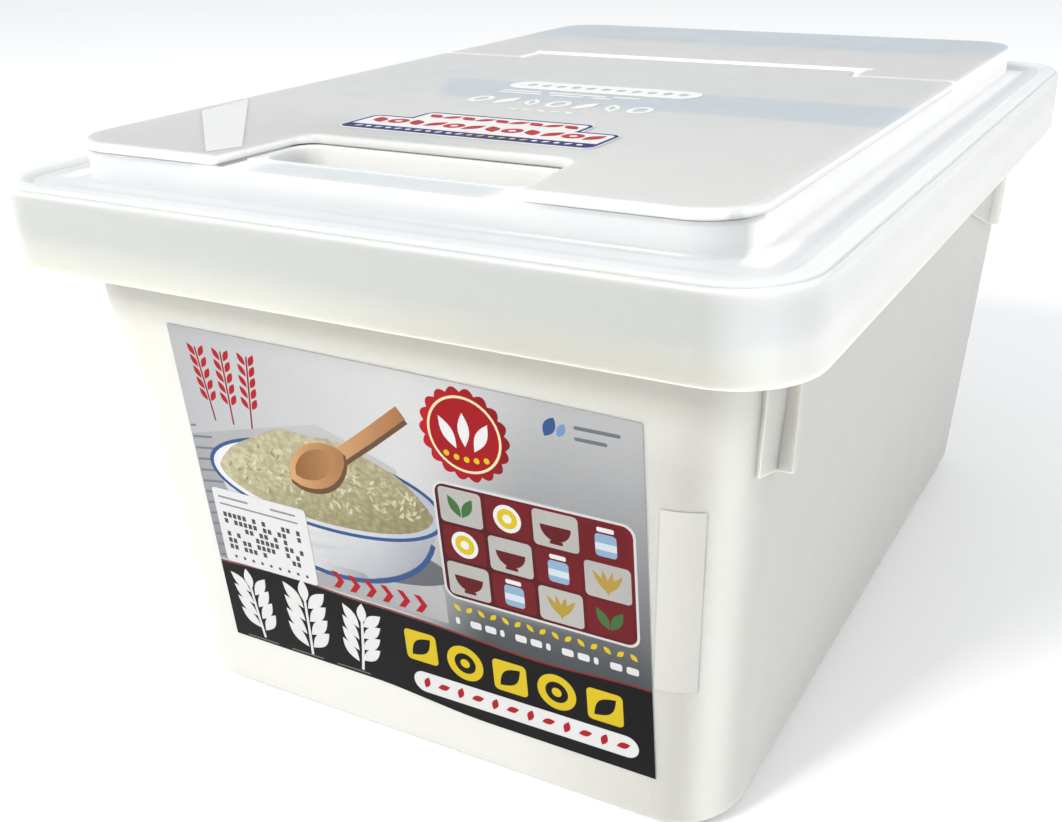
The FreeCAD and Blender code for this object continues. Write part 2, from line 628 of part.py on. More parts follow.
label = front_film("front_label", [("label_bl_x", "label_bl_up"), ("label_br_x", "label_br_up"),
                                   ("label_tr_x", "label_tr_up"), ("label_tl_x", "label_tl_up")], "film")
data = front_film("data_sticker", [("data_left", "data_low"), ("data_right", "data_low"),
                                   ("data_right", "data_top"), ("data_left", "data_top")], "film", V["film"])

tape_side = body("side_tape")
lo = sector(tape_side, "side_tape_low", "tape_low", 270.5, 301.5, -0.01, V["tape"], 1)
hi = sector(tape_side, "side_tape_top", "tape_top", 270.5, 300.5, -0.01, V["tape"], 1)
loft(tape_side, "side_tape_film", "AdditiveLoft", lo, [hi])

# ================================================================ films on the flap
stick = body("flap_sticker")
d = Drawing(stick, "sticker_outline", off="overall_high")
d.outline([("sticker_left", "sticker_front", "sticker_round"), ("sticker_right", "sticker_front", "sticker_round"),
           ("sticker_right", "sticker_step", "sticker_round"), ("sticker_step_right", "sticker_step"),
           ("sticker_step_right", "sticker_rear", "sticker_round"),
           ("sticker_step_left", "sticker_rear", "sticker_round"), ("sticker_step_left", "sticker_step"),
           ("sticker_left", "sticker_step", "sticker_round")])
pad(stick, "sticker_film", d, "film")

strip = body("tape_strip")
d = Drawing(strip, "strip_outline", off="overall_high")
d.outline([("strip_x_" + q, "strip_y_" + q) for q in "abcd"])
pad(strip, "strip_film", d, "tape")

# ================================================================ measuring_cup
cup = body("measuring_cup")
a = Drawing(cup, "cup_foot").centred("cup_foot_x - cup_slant", "cup_foot_y", "cup_corner")
c = Drawing(cup, "cup_knee", off="cup_knee_z").centred("cup_knee_x", "cup_knee_y", "cup_corner")
e = Drawing(cup, "cup_brim", off="cup_high").centred("cup_top_x", "cup_top_y", "cup_corner")
loft(cup, "cup_outside", "AdditiveLoft", a, [c, e])
w = "cup_corner - cup_wall"
a = Drawing(cup, "cup_cavity_foot", off="cup_wall").centred(
    "cup_foot_x - cup_slant - 0.3", "cup_foot_y - cup_wall", w)
c = Drawing(cup, "cup_cavity_knee", off="cup_knee_z + 0.5").centred(
    "cup_knee_x - cup_wall", "cup_knee_y - cup_wall", w)
e = Drawing(cup, "cup_cavity_brim", off="cup_high").centred(
    "cup_top_x - cup_wall", "cup_top_y - cup_wall", w)
loft(cup, "cup_inside", "SubtractiveLoft", a, [c, e])
d = Drawing(cup, "cup_tab_plan", off="cup_high - 2")
d.outline([("- 9", "cup_top_y - 1"), ("9", "cup_top_y - 1"), ("9", "cup_top_y + cup_tab", "cup_corner"),
           ("- 9", "cup_top_y + cup_tab", "cup_corner")])
pad(cup, "cup_handle_tab", d, "2")
cup.Placement = Placement(Vector(34, 62, V["tub_floor"] + 0.3), Rotation(Vector(0, 0, 1), 24))

mark = body("cup_label")
lean = math.degrees(math.atan((V["cup_top_y"] - V["cup_foot_y"]) / V["cup_high"]))
d = Drawing(mark, "cup_label_outline", "XZ_Plane", "0").block("- 13", "13", "30", "54", "1.3")
pad(mark, "cup_label_film", d, "film")
q = Rotation(Vector(1, 0, 0), lean)
mark.Placement = cup.Placement.multiply(Placement(Vector(0, -V["cup_foot_y"], 0), q))

doc.recompute()

# ---- every object sound, then one file for each piece ----
nodes = [tub, label, data, tape_side, lid, seal, flap, stick, strip, cup, mark]
for o in doc.Objects:
    need("Invalid" not in o.State and "Error" not in o.State, "%s is %s" % (o.Name, o.State))
for b in nodes:
    need(not b.Shape.isNull() and b.Shape.isValid(), b.Label + " has no sound shape")
    need(len(b.Shape.Solids) == 1, "%s has %d solids" % (b.Label, len(b.Shape.Solids)))
os.makedirs("parts", exist_ok=True)
for b in nodes:
    b.Shape.exportStep("parts/" + b.Label + ".step")
    bb = b.Shape.BoundBox
    print("%-15s %9.0f mm3  x %7.2f %7.2f  y %7.2f %7.2f  z %7.2f %7.2f" % (
        b.Label, b.Shape.Volume, bb.XMin, bb.XMax, bb.YMin, bb.YMax, bb.ZMin, bb.ZMax))
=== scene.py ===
import math
import bpy
import bmesh
import numpy as np
from mathutils import Matrix, Vector
from mathutils import geometry


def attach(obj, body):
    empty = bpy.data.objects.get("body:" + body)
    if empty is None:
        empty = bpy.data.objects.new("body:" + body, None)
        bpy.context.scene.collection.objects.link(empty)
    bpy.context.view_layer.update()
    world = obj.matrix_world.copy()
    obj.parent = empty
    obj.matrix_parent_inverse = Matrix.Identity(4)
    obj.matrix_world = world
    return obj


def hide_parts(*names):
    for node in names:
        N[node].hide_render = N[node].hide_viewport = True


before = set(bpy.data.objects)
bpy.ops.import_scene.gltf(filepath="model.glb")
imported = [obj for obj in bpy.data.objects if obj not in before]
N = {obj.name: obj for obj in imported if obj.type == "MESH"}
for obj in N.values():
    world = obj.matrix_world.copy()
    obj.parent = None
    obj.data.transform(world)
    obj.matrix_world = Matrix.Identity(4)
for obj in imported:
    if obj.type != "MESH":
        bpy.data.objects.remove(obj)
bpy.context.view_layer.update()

scene = bpy.context.scene
MM = 0.001


# --------------------------------------------------------------------------
# node helpers
# --------------------------------------------------------------------------
class Mat:
    """A material under construction: node tree plus short ways to add to it."""

    def __init__(self, name):
        self.m = bpy.data.materials.new(name)
        self.m.use_nodes = True
        self.t = self.m.node_tree
        self.t.nodes.clear()
        self.out = self.t.nodes.new("ShaderNodeOutputMaterial")
        self.b = self.t.nodes.new("ShaderNodeBsdfPrincipled")
        self.link(self.b.outputs[0], self.out.inputs[0])
        self.co = self.t.nodes.new("ShaderNodeTexCoord").outputs["Object"]

    def link(self, a, b):
        self.t.links.new(a, b)

    def put(self, sock, value):
        if hasattr(value, "is_output") and value.is_output:
            self.link(value, sock)
        else:
            sock.default_value = value

    def set(self, **kw):
        for k, v in kw.items():
            self.put(self.b.inputs[k.replace("_", " ")], v)
        return self

    def math(self, op, a, b=0.0, c=0.0, clamp=False):
        n = self.t.nodes.new("ShaderNodeMath")
        n.operation = op
        n.use_clamp = clamp
        for i, v in enumerate((a, b, c)):
            self.put(n.inputs[i], v)
        return n.outputs[0]

    def mix(self, f, a, b):
        n = self.t.nodes.new("ShaderNodeMix")
        n.data_type = "RGBA"
        self.put(n.inputs[0], f)
        self.put(n.inputs[6], a)
        self.put(n.inputs[7], b)
        return n.outputs[2]

    def noise(self, scale, detail=3.0, rough=0.5, co=None, distortion=0.0):
        n = self.t.nodes.new("ShaderNodeTexNoise")
        self.link(self.co if co is None else co, n.inputs["Vector"])
        n.inputs["Scale"].default_value = scale
        n.inputs["Detail"].default_value = detail
        n.inputs["Roughness"].default_value = rough
        n.inputs["Distortion"].default_value = distortion
        return n.outputs["Fac"]

    def voronoi(self, scale, feature="F1", co=None, randomness=1.0):
        n = self.t.nodes.new("ShaderNodeTexVoronoi")
        n.feature = feature
        self.link(self.co if co is None else co, n.inputs["Vector"])
        n.inputs["Scale"].default_value = scale
        n.inputs["Randomness"].default_value = randomness
        return n

    def ramp(self, fac, stops):
        n = self.t.nodes.new("ShaderNodeValToRGB")
        self.link(fac, n.inputs[0])
        e = n.color_ramp.elements
        while len(e) > 1:
            e.remove(e[0])
        e[0].position, e[0].color = stops[0]
        for p, c in stops[1:]:
            q = e.new(p)
            q.color = c
        return n.outputs[0]

    def span(self, v, a, b, c=0.0, d=1.0):
        n = self.t.nodes.new("ShaderNodeMapRange")
        self.link(v, n.inputs[0])
        for i, x in enumerate((a, b, c, d)):
            n.inputs[1 + i].default_value = x
        return n.outputs[0]

    def scaled(self, sx, sy, sz, rot=(0, 0, 0)):
        n = self.t.nodes.new("ShaderNodeMapping")
        self.link(self.co, n.inputs[0])
        n.inputs["Scale"].default_value = (sx, sy, sz)
        n.inputs["Rotation"].default_value = rot
        return n.outputs[0]

    def attr(self, name, out="Fac"):
        n = self.t.nodes.new("ShaderNodeAttribute")
        n.attribute_name = name
        return n.outputs[out]

    def bump(self, height, strength=0.2, distance=0.0002, normal=None):
        n = self.t.nodes.new("ShaderNodeBump")
        n.inputs["Strength"].default_value = strength
        n.inputs["Distance"].default_value = distance
        self.link(height, n.inputs["Height"])
        if normal is not None:
            self.link(normal, n.inputs["Normal"])
        return n.outputs[0]


def rgb(r, g, b):
    """sRGB 0-255 to linear RGBA."""
    def f(c):
        c /= 255.0
        return c / 12.92 if c <= 0.04045 else ((c + 0.055) / 1.055) ** 2.4
    return (f(r), f(g), f(b), 1.0)


# --------------------------------------------------------------------------
# plastics
# --------------------------------------------------------------------------
def plastic(name, rough, spec, sss, radius, flow=0.25):
    """Moulded polypropylene without its colour: fine matte grain, slow flow marks and sheen."""
    m = Mat(name)
    sep = m.t.nodes.new("ShaderNodeSeparateXYZ")
    m.link(m.co, sep.inputs[0])
    m.x, m.y, m.z = sep.outputs
    m.big = m.span(m.noise(9.0, 2.0, 0.45), 0.3, 0.7)
    m.mid = m.span(m.noise(60.0, 3.0, 0.55), 0.35, 0.75)
    m.fine = m.span(m.noise(2600.0, 2.0, 0.6), 0.3, 0.7)
    r = m.math("ADD", m.math("MULTIPLY", m.mid, 0.06), rough - 0.03)
    r = m.math("ADD", r, m.math("MULTIPLY", m.fine, 0.04))
    nb = m.bump(m.noise(22.0, 2.0, 0.4), flow, 0.0012)
    nb = m.bump(m.fine, 0.10, 0.00006, nb)
    m.set(Roughness=r, Normal=nb)
    m.b.inputs["Subsurface Weight"].default_value = sss
    m.b.inputs["Subsurface Radius"].default_value = radius
    m.b.inputs["Subsurface Scale"].default_value = 0.001
    m.b.inputs["IOR"].default_value = 1.49
    m.b.inputs["Specular IOR Level"].default_value = spec
    return m


def near(m, v, at, width):
    """Soft bump of height 1 where v is close to at, both in metres."""
    d = m.math("MULTIPLY", m.math("SUBTRACT", v, at), 1.0 / width)
    return m.math("POWER", 2.718, m.math("MULTIPLY", m.math("MULTIPLY", d, d), -1.0))


def step(m, v, a, b):
    return m.math("SMOOTH_MIN", m.span(v, a, b), 1.0, 0.05)


def clouded(m, base, tint):
    c = m.mix(m.big, base, tint)
    return m.mix(m.math("MULTIPLY", m.mid, 0.12), c, tint)


# tub: milky, thick enough to look nearly opaque
tub = plastic("pp_tub", 0.42, 0.42, 1.0, (3.2, 3.0, 2.6))
c = clouded(tub, rgb(198, 198, 194), rgb(194, 194, 189))
# painted shadow: a darker, warmer band from 100 to 148 mm up, under the lid's skirt
skirt_shadow = tub.math("MULTIPLY", step(tub, tub.z, 0.100, 0.148), tub.math("SUBTRACT", 1.0, step(tub, tub.z, 0.1490, 0.1520)))
c = tub.mix(tub.math("MULTIPLY", skirt_shadow, 0.6), c, rgb(190, 187, 174))
# painted light: the inside and its floor are made lighter, as they only see light from the mouth
nor = tub.t.nodes.new("ShaderNodeSeparateXYZ")
tub.link(tub.t.nodes.new("ShaderNodeTexCoord").outputs["Normal"], nor.inputs[0])
out = tub.math("ADD", tub.math("MULTIPLY", nor.outputs[0], tub.x), tub.math("MULTIPLY", nor.outputs[1], tub.y))
inside_light = step(tub, tub.math("MULTIPLY", out, -1.0), 0.008, 0.030)
base = tub.math("MULTIPLY", step(tub, nor.outputs[2], 0.5, 0.9),
                tub.math("MULTIPLY", step(tub, tub.z, 0.0012, 0.0019), tub.math("SUBTRACT", 1.0, step(tub, tub.z, 0.012, 0.020))))
inside_light = tub.math("MAXIMUM", inside_light, base)
# painted shade: the long walls, facing the sides, are darker
c = tub.mix(tub.math("MULTIPLY", step(tub, tub.math("ABSOLUTE", nor.outputs[0]), 0.82, 0.99), 0.9), c, rgb(184, 184, 180))
# painted shade: the front wall darkens toward its right end
right = tub.math("MULTIPLY", step(tub, tub.x, 0.030, 0.084), step(tub, tub.math("MULTIPLY", nor.outputs[1], -1.0), 0.55, 0.95))
right = tub.math("MULTIPLY", right, tub.math("SUBTRACT", 1.0, step(tub, tub.z, 0.112, 0.134)))
c = tub.mix(right, c, rgb(172, 171, 167))
# painted light: the rounded front corners are lighter
lit_edge = tub.math("MULTIPLY", near(tub, nor.outputs[0], 0.72, 0.20), step(tub, tub.math("MULTIPLY", nor.outputs[1], -1.0), 0.30, 0.60))
c = tub.mix(tub.math("MULTIPLY", lit_edge, 0.8), c, rgb(212, 212, 208))
c = tub.mix(inside_light, c, rgb(236, 237, 235))
tub.set(Base_Color=c)
tub_mat = tub.m

# lid: more see-through, so what lies under it tints it
lid = plastic("pp_lid", 0.33, 0.45, 1.0, (7.0, 7.0, 6.6))
c = clouded(lid, rgb(208, 210, 210), rgb(204, 207, 208))
wide = lid.math("ABSOLUTE", lid.x)
# painted shade: the skirt's front face is darker
front = lid.math("MULTIPLY", step(lid, lid.math("MULTIPLY", lid.y, -1.0), 0.1560, 0.1622),
                 lid.math("SUBTRACT", 1.0, step(lid, wide, 0.0950, 0.1120)))
front = lid.math("MULTIPLY", front, lid.math("SUBTRACT", 1.0, lid.math("MULTIPLY", step(lid, lid.z, 0.1604, 0.1620), 0.5)))
c = lid.mix(lid.math("MULTIPLY", front, 0.9), c, rgb(156, 158, 155))
# painted light: the skirt's side faces are lighter, less so toward the front
skirt_side_light = lid.math("MULTIPLY", step(lid, wide, 0.1000, 0.1130),
                lid.math("SUBTRACT", 1.0, step(lid, lid.z, 0.1596, 0.1608)))
turn = lid.math("MULTIPLY", step(lid, lid.math("MULTIPLY", lid.y, -1.0), 0.1360, 0.1560), 0.75)
skirt_side_light = lid.math("MULTIPLY", skirt_side_light, lid.math("SUBTRACT", 0.9, turn))
c = lid.mix(skirt_side_light, c, rgb(226, 226, 224))
# painted shade: the skirt is darker and warmer toward its lower edge
low = lid.math("MULTIPLY", lid.math("SUBTRACT", 1.0, step(lid, lid.z, 0.1412, 0.1500)), 0.5)
c = lid.mix(low, c, rgb(196, 194, 180))
shade = lid.math("MULTIPLY", lid.math("MULTIPLY", front, step(lid, lid.x, -0.010, 0.050)), lid.math("SUBTRACT", 1.0, step(lid, lid.z, 0.1412, 0.1530)))
c = lid.mix(lid.math("MULTIPLY", shade, 0.7), c, rgb(150, 148, 142))
# painted light: the plateau's walls are made near white, for light from inside, and the right one also glows
wall_light = lid.math("MULTIPLY", step(lid, wide, 0.0940, 0.0960), lid.math("SUBTRACT", 1.0, step(lid, wide, 0.0995, 0.1020)))
deep = lid.math("ABSOLUTE", lid.y)
wall_light = lid.math("MULTIPLY", wall_light, lid.math("SUBTRACT", 1.0, step(lid, deep, 0.1380, 0.1450)))
wall_light = lid.math("MULTIPLY", wall_light, lid.math("MULTIPLY", step(lid, lid.z, 0.1600, 0.1606), lid.math("SUBTRACT", 1.0, step(lid, lid.z, 0.1712, 0.1720))))
c = lid.mix(wall_light, c, rgb(253, 252, 249))
# painted shade: soft bluish line along the trough
trough_shade = lid.math("MAXIMUM",
                  lid.math("MULTIPLY", near(lid, wide, 0.1036, 0.0012), lid.math("SUBTRACT", 1.0, step(lid, deep, 0.1340, 0.1460))),
                  lid.math("MULTIPLY", near(lid, deep, 0.1508, 0.0012), lid.math("SUBTRACT", 1.0, step(lid, wide, 0.0860, 0.0990))))
trough_shade = lid.math("MULTIPLY", trough_shade, step(lid, lid.z, 0.1604, 0.1608))
c = lid.mix(lid.math("MULTIPLY", trough_shade, 0.40), c, rgb(170, 180, 196))
# flat ledge before the well: painted bluish shade, with painted light near the notch edges
ledge = lid.math("MULTIPLY", step(lid, lid.z, 0.1680, 0.1688), lid.math("SUBTRACT", 1.0, step(lid, lid.y, -0.1325, -0.1310)))
c = lid.mix(ledge, c, rgb(188, 192, 195))
c = lid.mix(lid.math("MULTIPLY", ledge, near(lid, wide, 0.0420, 0.0060)), c, rgb(253, 253, 252))
# the finger well catches the light
well = lid.math("MULTIPLY", near(lid, lid.y, -0.1130, 0.0045), lid.math("SUBTRACT", 1.0, step(lid, wide, 0.0400, 0.0425)))
c = lid.mix(well, c, rgb(230, 229, 223))
# painted shade: the rear deck is darker, bluer toward the back and crossed by a darker bluish line, where it lies over
# the dark end of the inside
deck = step(lid, lid.z, 0.1700, 0.1717)
dc = lid.mix(step(lid, lid.y, 0.085, 0.112), rgb(181, 181, 179), rgb(162, 172, 179))
line = lid.math("MULTIPLY", near(lid, lid.y, 0.1045, 0.004),
                lid.math("SUBTRACT", 1.0, step(lid, lid.math("ABSOLUTE", lid.math("SUBTRACT", lid.x, 0.006)), 0.070, 0.080)))
dc = lid.mix(lid.math("MULTIPLY", line, 0.55), dc, rgb(150, 164, 176))
c = lid.mix(deck, c, dc)
# painted light: bright edge of the hinge recess
lit_edge = lid.math("MULTIPLY", step(lid, lid.y, 0.0525, 0.0532), lid.math("SUBTRACT", 1.0, step(lid, lid.y, 0.0556, 0.0566)))
lit_edge = lid.math("MULTIPLY", lit_edge, lid.math("SUBTRACT", 1.0, step(lid, wide, 0.0650, 0.0662)))
lit_edge_sides = lid.math("MULTIPLY", near(lid, wide, 0.0634, 0.0009), lid.math("MULTIPLY", step(lid, lid.y, 0.0380, 0.0385), lid.math("SUBTRACT", 1.0, step(lid, lid.y, 0.0550, 0.0560))))
c = lid.mix(lid.math("MULTIPLY", lid.math("MAXIMUM", lit_edge, lit_edge_sides), 0.85), c, rgb(250, 249, 240))
# painted light: the ledge under the flap's thin corners beside the notch glows, standing in for daylight let through
# them
ledge_glow = lid.math("MULTIPLY", near(lid, wide, 0.0475, 0.0090), step(lid, lid.math("MULTIPLY", lid.y, -1.0), 0.1080, 0.1110))
ledge_glow = lid.math("MULTIPLY", ledge_glow, lid.math("SUBTRACT", 1.0, step(lid, wide, 0.0560, 0.0620)))
ledge_glow = lid.math("MULTIPLY", ledge_glow, step(lid, wide, 0.0430, 0.0440))
ledge_glow = lid.math("MULTIPLY", ledge_glow, lid.math("MULTIPLY", step(lid, lid.z, 0.1600, 0.1640), lid.math("SUBTRACT", 1.0, step(lid, lid.y, -0.0700, -0.0600))))
ledge_glow = lid.math("MULTIPLY", ledge_glow, step(lid, lid.y, -0.1425, -0.1415))
# painted light: the right plateau wall glows as well
glow = lid.mix(lid.math("MULTIPLY", wall_light, step(lid, lid.x, 0.0, 0.02)), rgb(0, 0, 0), rgb(118, 118, 116))
lid.set(Base_Color=c, Emission_Color=lid.mix(ledge_glow, glow, rgb(136, 136, 133)))
lid.b.inputs["Emission Strength"].default_value = 1.0
lid_mat = lid.m

# flap: the same plastic, smoother on top
flap = plastic("pp_flap", 0.30, 0.40, 1.0, (6.0, 6.0, 5.8), 0.10)
c = clouded(flap, rgb(180, 181, 180), rgb(177, 178, 179))
# painted light and shade: the front part is lighter, its left side darker, and a darker patch lies near the middle
fore_light = flap.math("SUBTRACT", 1.0, step(flap, flap.y, -0.150, -0.020))
c = flap.mix(fore_light, c, rgb(190, 191, 188))
fore_left_shade = flap.math("MULTIPLY", fore_light, flap.math("SUBTRACT", 1.0, step(flap, flap.x, -0.070, 0.050)))
c = flap.mix(fore_left_shade, c, rgb(174, 175, 173))
centre_shade = flap.math("MULTIPLY", near(flap, flap.x, -0.024, 0.040), step(flap, flap.math("MULTIPLY", flap.y, -1.0), 0.080, 0.100))
c = flap.mix(centre_shade, c, rgb(168, 169, 168))
# painted reflection: a bluish slanted band across the flap
reflected_band = flap.math("MULTIPLY", step(flap, flap.y, -0.0475, -0.0445), flap.math("SUBTRACT", 1.0, step(flap, flap.y, -0.0160, -0.0130)))
skew = flap.math("ADD", flap.x, flap.math("MULTIPLY", flap.y, 0.55))
reflected_band = flap.math("MULTIPLY", reflected_band, step(flap, skew, -0.0700, -0.0660))
c = flap.mix(flap.math("MULTIPLY", reflected_band, 0.85), c, rgb(158, 169, 178))
rim_glow = step(flap, flap.math("SUBTRACT", 0.1717, flap.z), -0.0002, 0.0008)
c = flap.mix(rim_glow, c, rgb(206, 207, 205))
below = flap.math("SUBTRACT", 1.0, step(flap, flap.z, 0.1694, 0.1698))
c = flap.mix(below, c, rgb(172, 173, 172))
# painted light: its outer edge and the notch's sides are made near white, for light let through where they are thin
apart = flap.math("ABSOLUTE", flap.x)
rim = flap.math("MAXIMUM", step(flap, apart, 0.0930, 0.0945), step(flap, flap.math("MULTIPLY", flap.y, -1.0), 0.1400, 0.1415))
cut = flap.math("MULTIPLY", near(flap, apart, 0.0425, 0.0030), step(flap, flap.math("MULTIPLY", flap.y, -1.0), 0.1040, 0.1090))
rim = flap.math("MULTIPLY", flap.math("MAXIMUM", rim, cut), flap.math("SUBTRACT", 1.0, step(flap, flap.z, 0.1708, 0.1716)))
face = flap.t.nodes.new("ShaderNodeSeparateXYZ")
flap.link(flap.t.nodes.new("ShaderNodeTexCoord").outputs["Normal"], face.inputs[0])
down = step(flap, flap.math("MULTIPLY", face.outputs[2], -1.0), 0.5, 0.9)
rim = flap.math("MULTIPLY", rim, flap.math("SUBTRACT", 1.0, down))
c = flap.mix(rim, c, rgb(252, 252, 250))
# painted light: the underside along the notch and the outer brink glows, over a darker base colour
shine = flap.math("MULTIPLY", near(flap, apart, 0.0470, 0.0085), step(flap, flap.math("MULTIPLY", flap.y, -1.0), 0.1040, 0.1090))
brink = flap.math("MAXIMUM", step(flap, apart, 0.0925, 0.0940), step(flap, flap.math("MULTIPLY", flap.y, -1.0), 0.1395, 0.1410))
shine = flap.math("MAXIMUM", shine, flap.math("MULTIPLY", brink, 0.75))
shine = flap.math("MULTIPLY", flap.math("MULTIPLY", shine, down), flap.math("SUBTRACT", 1.0, step(flap, flap.z, 0.1696, 0.1700)))
c = flap.mix(shine, c, rgb(140, 140, 139))
flap.set(Emission_Color=flap.mix(shine, rgb(0, 0, 0), rgb(146, 146, 143)))
flap.b.inputs["Emission Strength"].default_value = 1.0
flap.set(Base_Color=c)
flap_mat = flap.m

# cup: thinner and clearer
cup = plastic("pp_cup", 0.25, 0.5, 1.0, (4.0, 4.0, 4.0))
cup.set(Base_Color=clouded(cup, rgb(232, 236, 238), rgb(227, 232, 235)))
cup_mat = cup.m

seal = Mat("seal_rubber")
c = seal.mix(seal.noise(180.0, 2.0), rgb(58, 96, 160), rgb(70, 110, 172))
seal.set(Base_Color=c, Roughness=seal.span(seal.noise(900.0, 2.0), 0.3, 0.7, 0.52, 0.62),
         Normal=seal.bump(seal.noise(1800.0, 2.0), 0.15, 0.00005))
seal_mat = seal.m


def assign(node, mat):
    o = N[node]
    o.data.materials.clear()
    o.data.materials.append(mat)


assign("bin_body", tub_mat)
assign("lid_frame", lid_mat)
assign("lid_flap", flap_mat)
assign("measuring_cup", cup_mat)
assign("gasket", seal_mat)
# --------------------------------------------------------------------------
# printed films: flat shapes cut into one thin closed sheet
# --------------------------------------------------------------------------
def poly_round(pts, r=0.0, n=5):
    """Polygon with rounded corners; pts may carry their own radius."""
    out = []
    k = len(pts)
    for i in range(k):
        p = Vector(pts[i][:2])
        rr = pts[i][2] if len(pts[i]) > 2 else r
        a, c = Vector(pts[i - 1][:2]), Vector(pts[(i + 1) % k][:2])
        if rr <= 0:
            out.append(tuple(p))
            continue
        u, w = (a - p).normalized(), (c - p).normalized()
        half = math.acos(max(-1, min(1, u.dot(w)))) / 2
        t = rr / math.tan(half)
        s, e = p + u * t, p + w * t
        o = p + (u + w).normalized() * (rr / math.sin(half))
        a0, a1 = math.atan2(s.y - o.y, s.x - o.x), math.atan2(e.y - o.y, e.x - o.x)
        d = (a1 - a0 + math.pi) % (2 * math.pi) - math.pi
        out += [(o.x + rr * math.cos(a0 + d * j / n), o.y + rr * math.sin(a0 + d * j / n)) for j in range(n + 1)]
    return out


def box2(x0, x1, y0, y1, r=0.0, n=5):
    return poly_round([(x0, y0), (x1, y0), (x1, y1), (x0, y1)], r, n)


def oval(cx, cy, rx, ry=None, n=40, a0=0.0, a1=360.0):
    ry = rx if ry is None else ry
    full = abs(a1 - a0) >= 360
    m = n if full else n + 1
    return [(cx + rx * math.cos(math.radians(a0 + (a1 - a0) * i / n)),
             cy + ry * math.sin(math.radians(a0 + (a1 - a0) * i / n))) for i in range(m)]


def scallop(cx, cy, r, depth, lobes, n=10):
    return [(cx + (r + depth * abs(math.cos(lobes * t / 2)) - depth) * math.cos(t),
             cy + (r + depth * abs(math.cos(lobes * t / 2)) - depth) * math.sin(t))
            for t in [2 * math.pi * i / (lobes * n) for i in range(lobes * n)]]


def leaf(cx, cy, length, width, deg, n=9, tip=1.0):
    """A grain or leaf: two arcs meeting in points."""
    out = []
    for s in (1, -1):
        for i in range(n):
            t = i / n if s > 0 else 1 - i / n
            out.append(((t - 0.5) * length, s * width / 2 * math.sin(math.pi * t) ** tip))
    ca, sa = math.cos(math.radians(deg)), math.sin(math.radians(deg))
    return [(cx + x * ca - y * sa, cy + x * sa + y * ca) for x, y in out]


def band(pts, w):
    """Stroke of width w along an open line."""
    p = [Vector(q) for q in pts]
    left, right = [], []
    for i in range(len(p)):
        d = (p[min(i + 1, len(p) - 1)] - p[max(i - 1, 0)]).normalized()
        nrm = Vector((-d.y, d.x)) * (w / 2)
        left.append(tuple(p[i] + nrm))
        right.append(tuple(p[i] - nrm))
    return left + right[::-1]


def inside(poly, pts):
    """Which of the points lie in the polygon."""
    poly = np.asarray(poly, float)
    x, y = pts[:, 0], pts[:, 1]
    hit = np.zeros(len(pts), bool)
    xj, yj = poly[-1]
    for xi, yi in poly:
        c = ((yi > y) != (yj > y)) & (x < (xj - xi) * (y - yi) / (yj - yi + 1e-300) + xi)
        hit ^= c
        xj, yj = xi, yi
    return hit


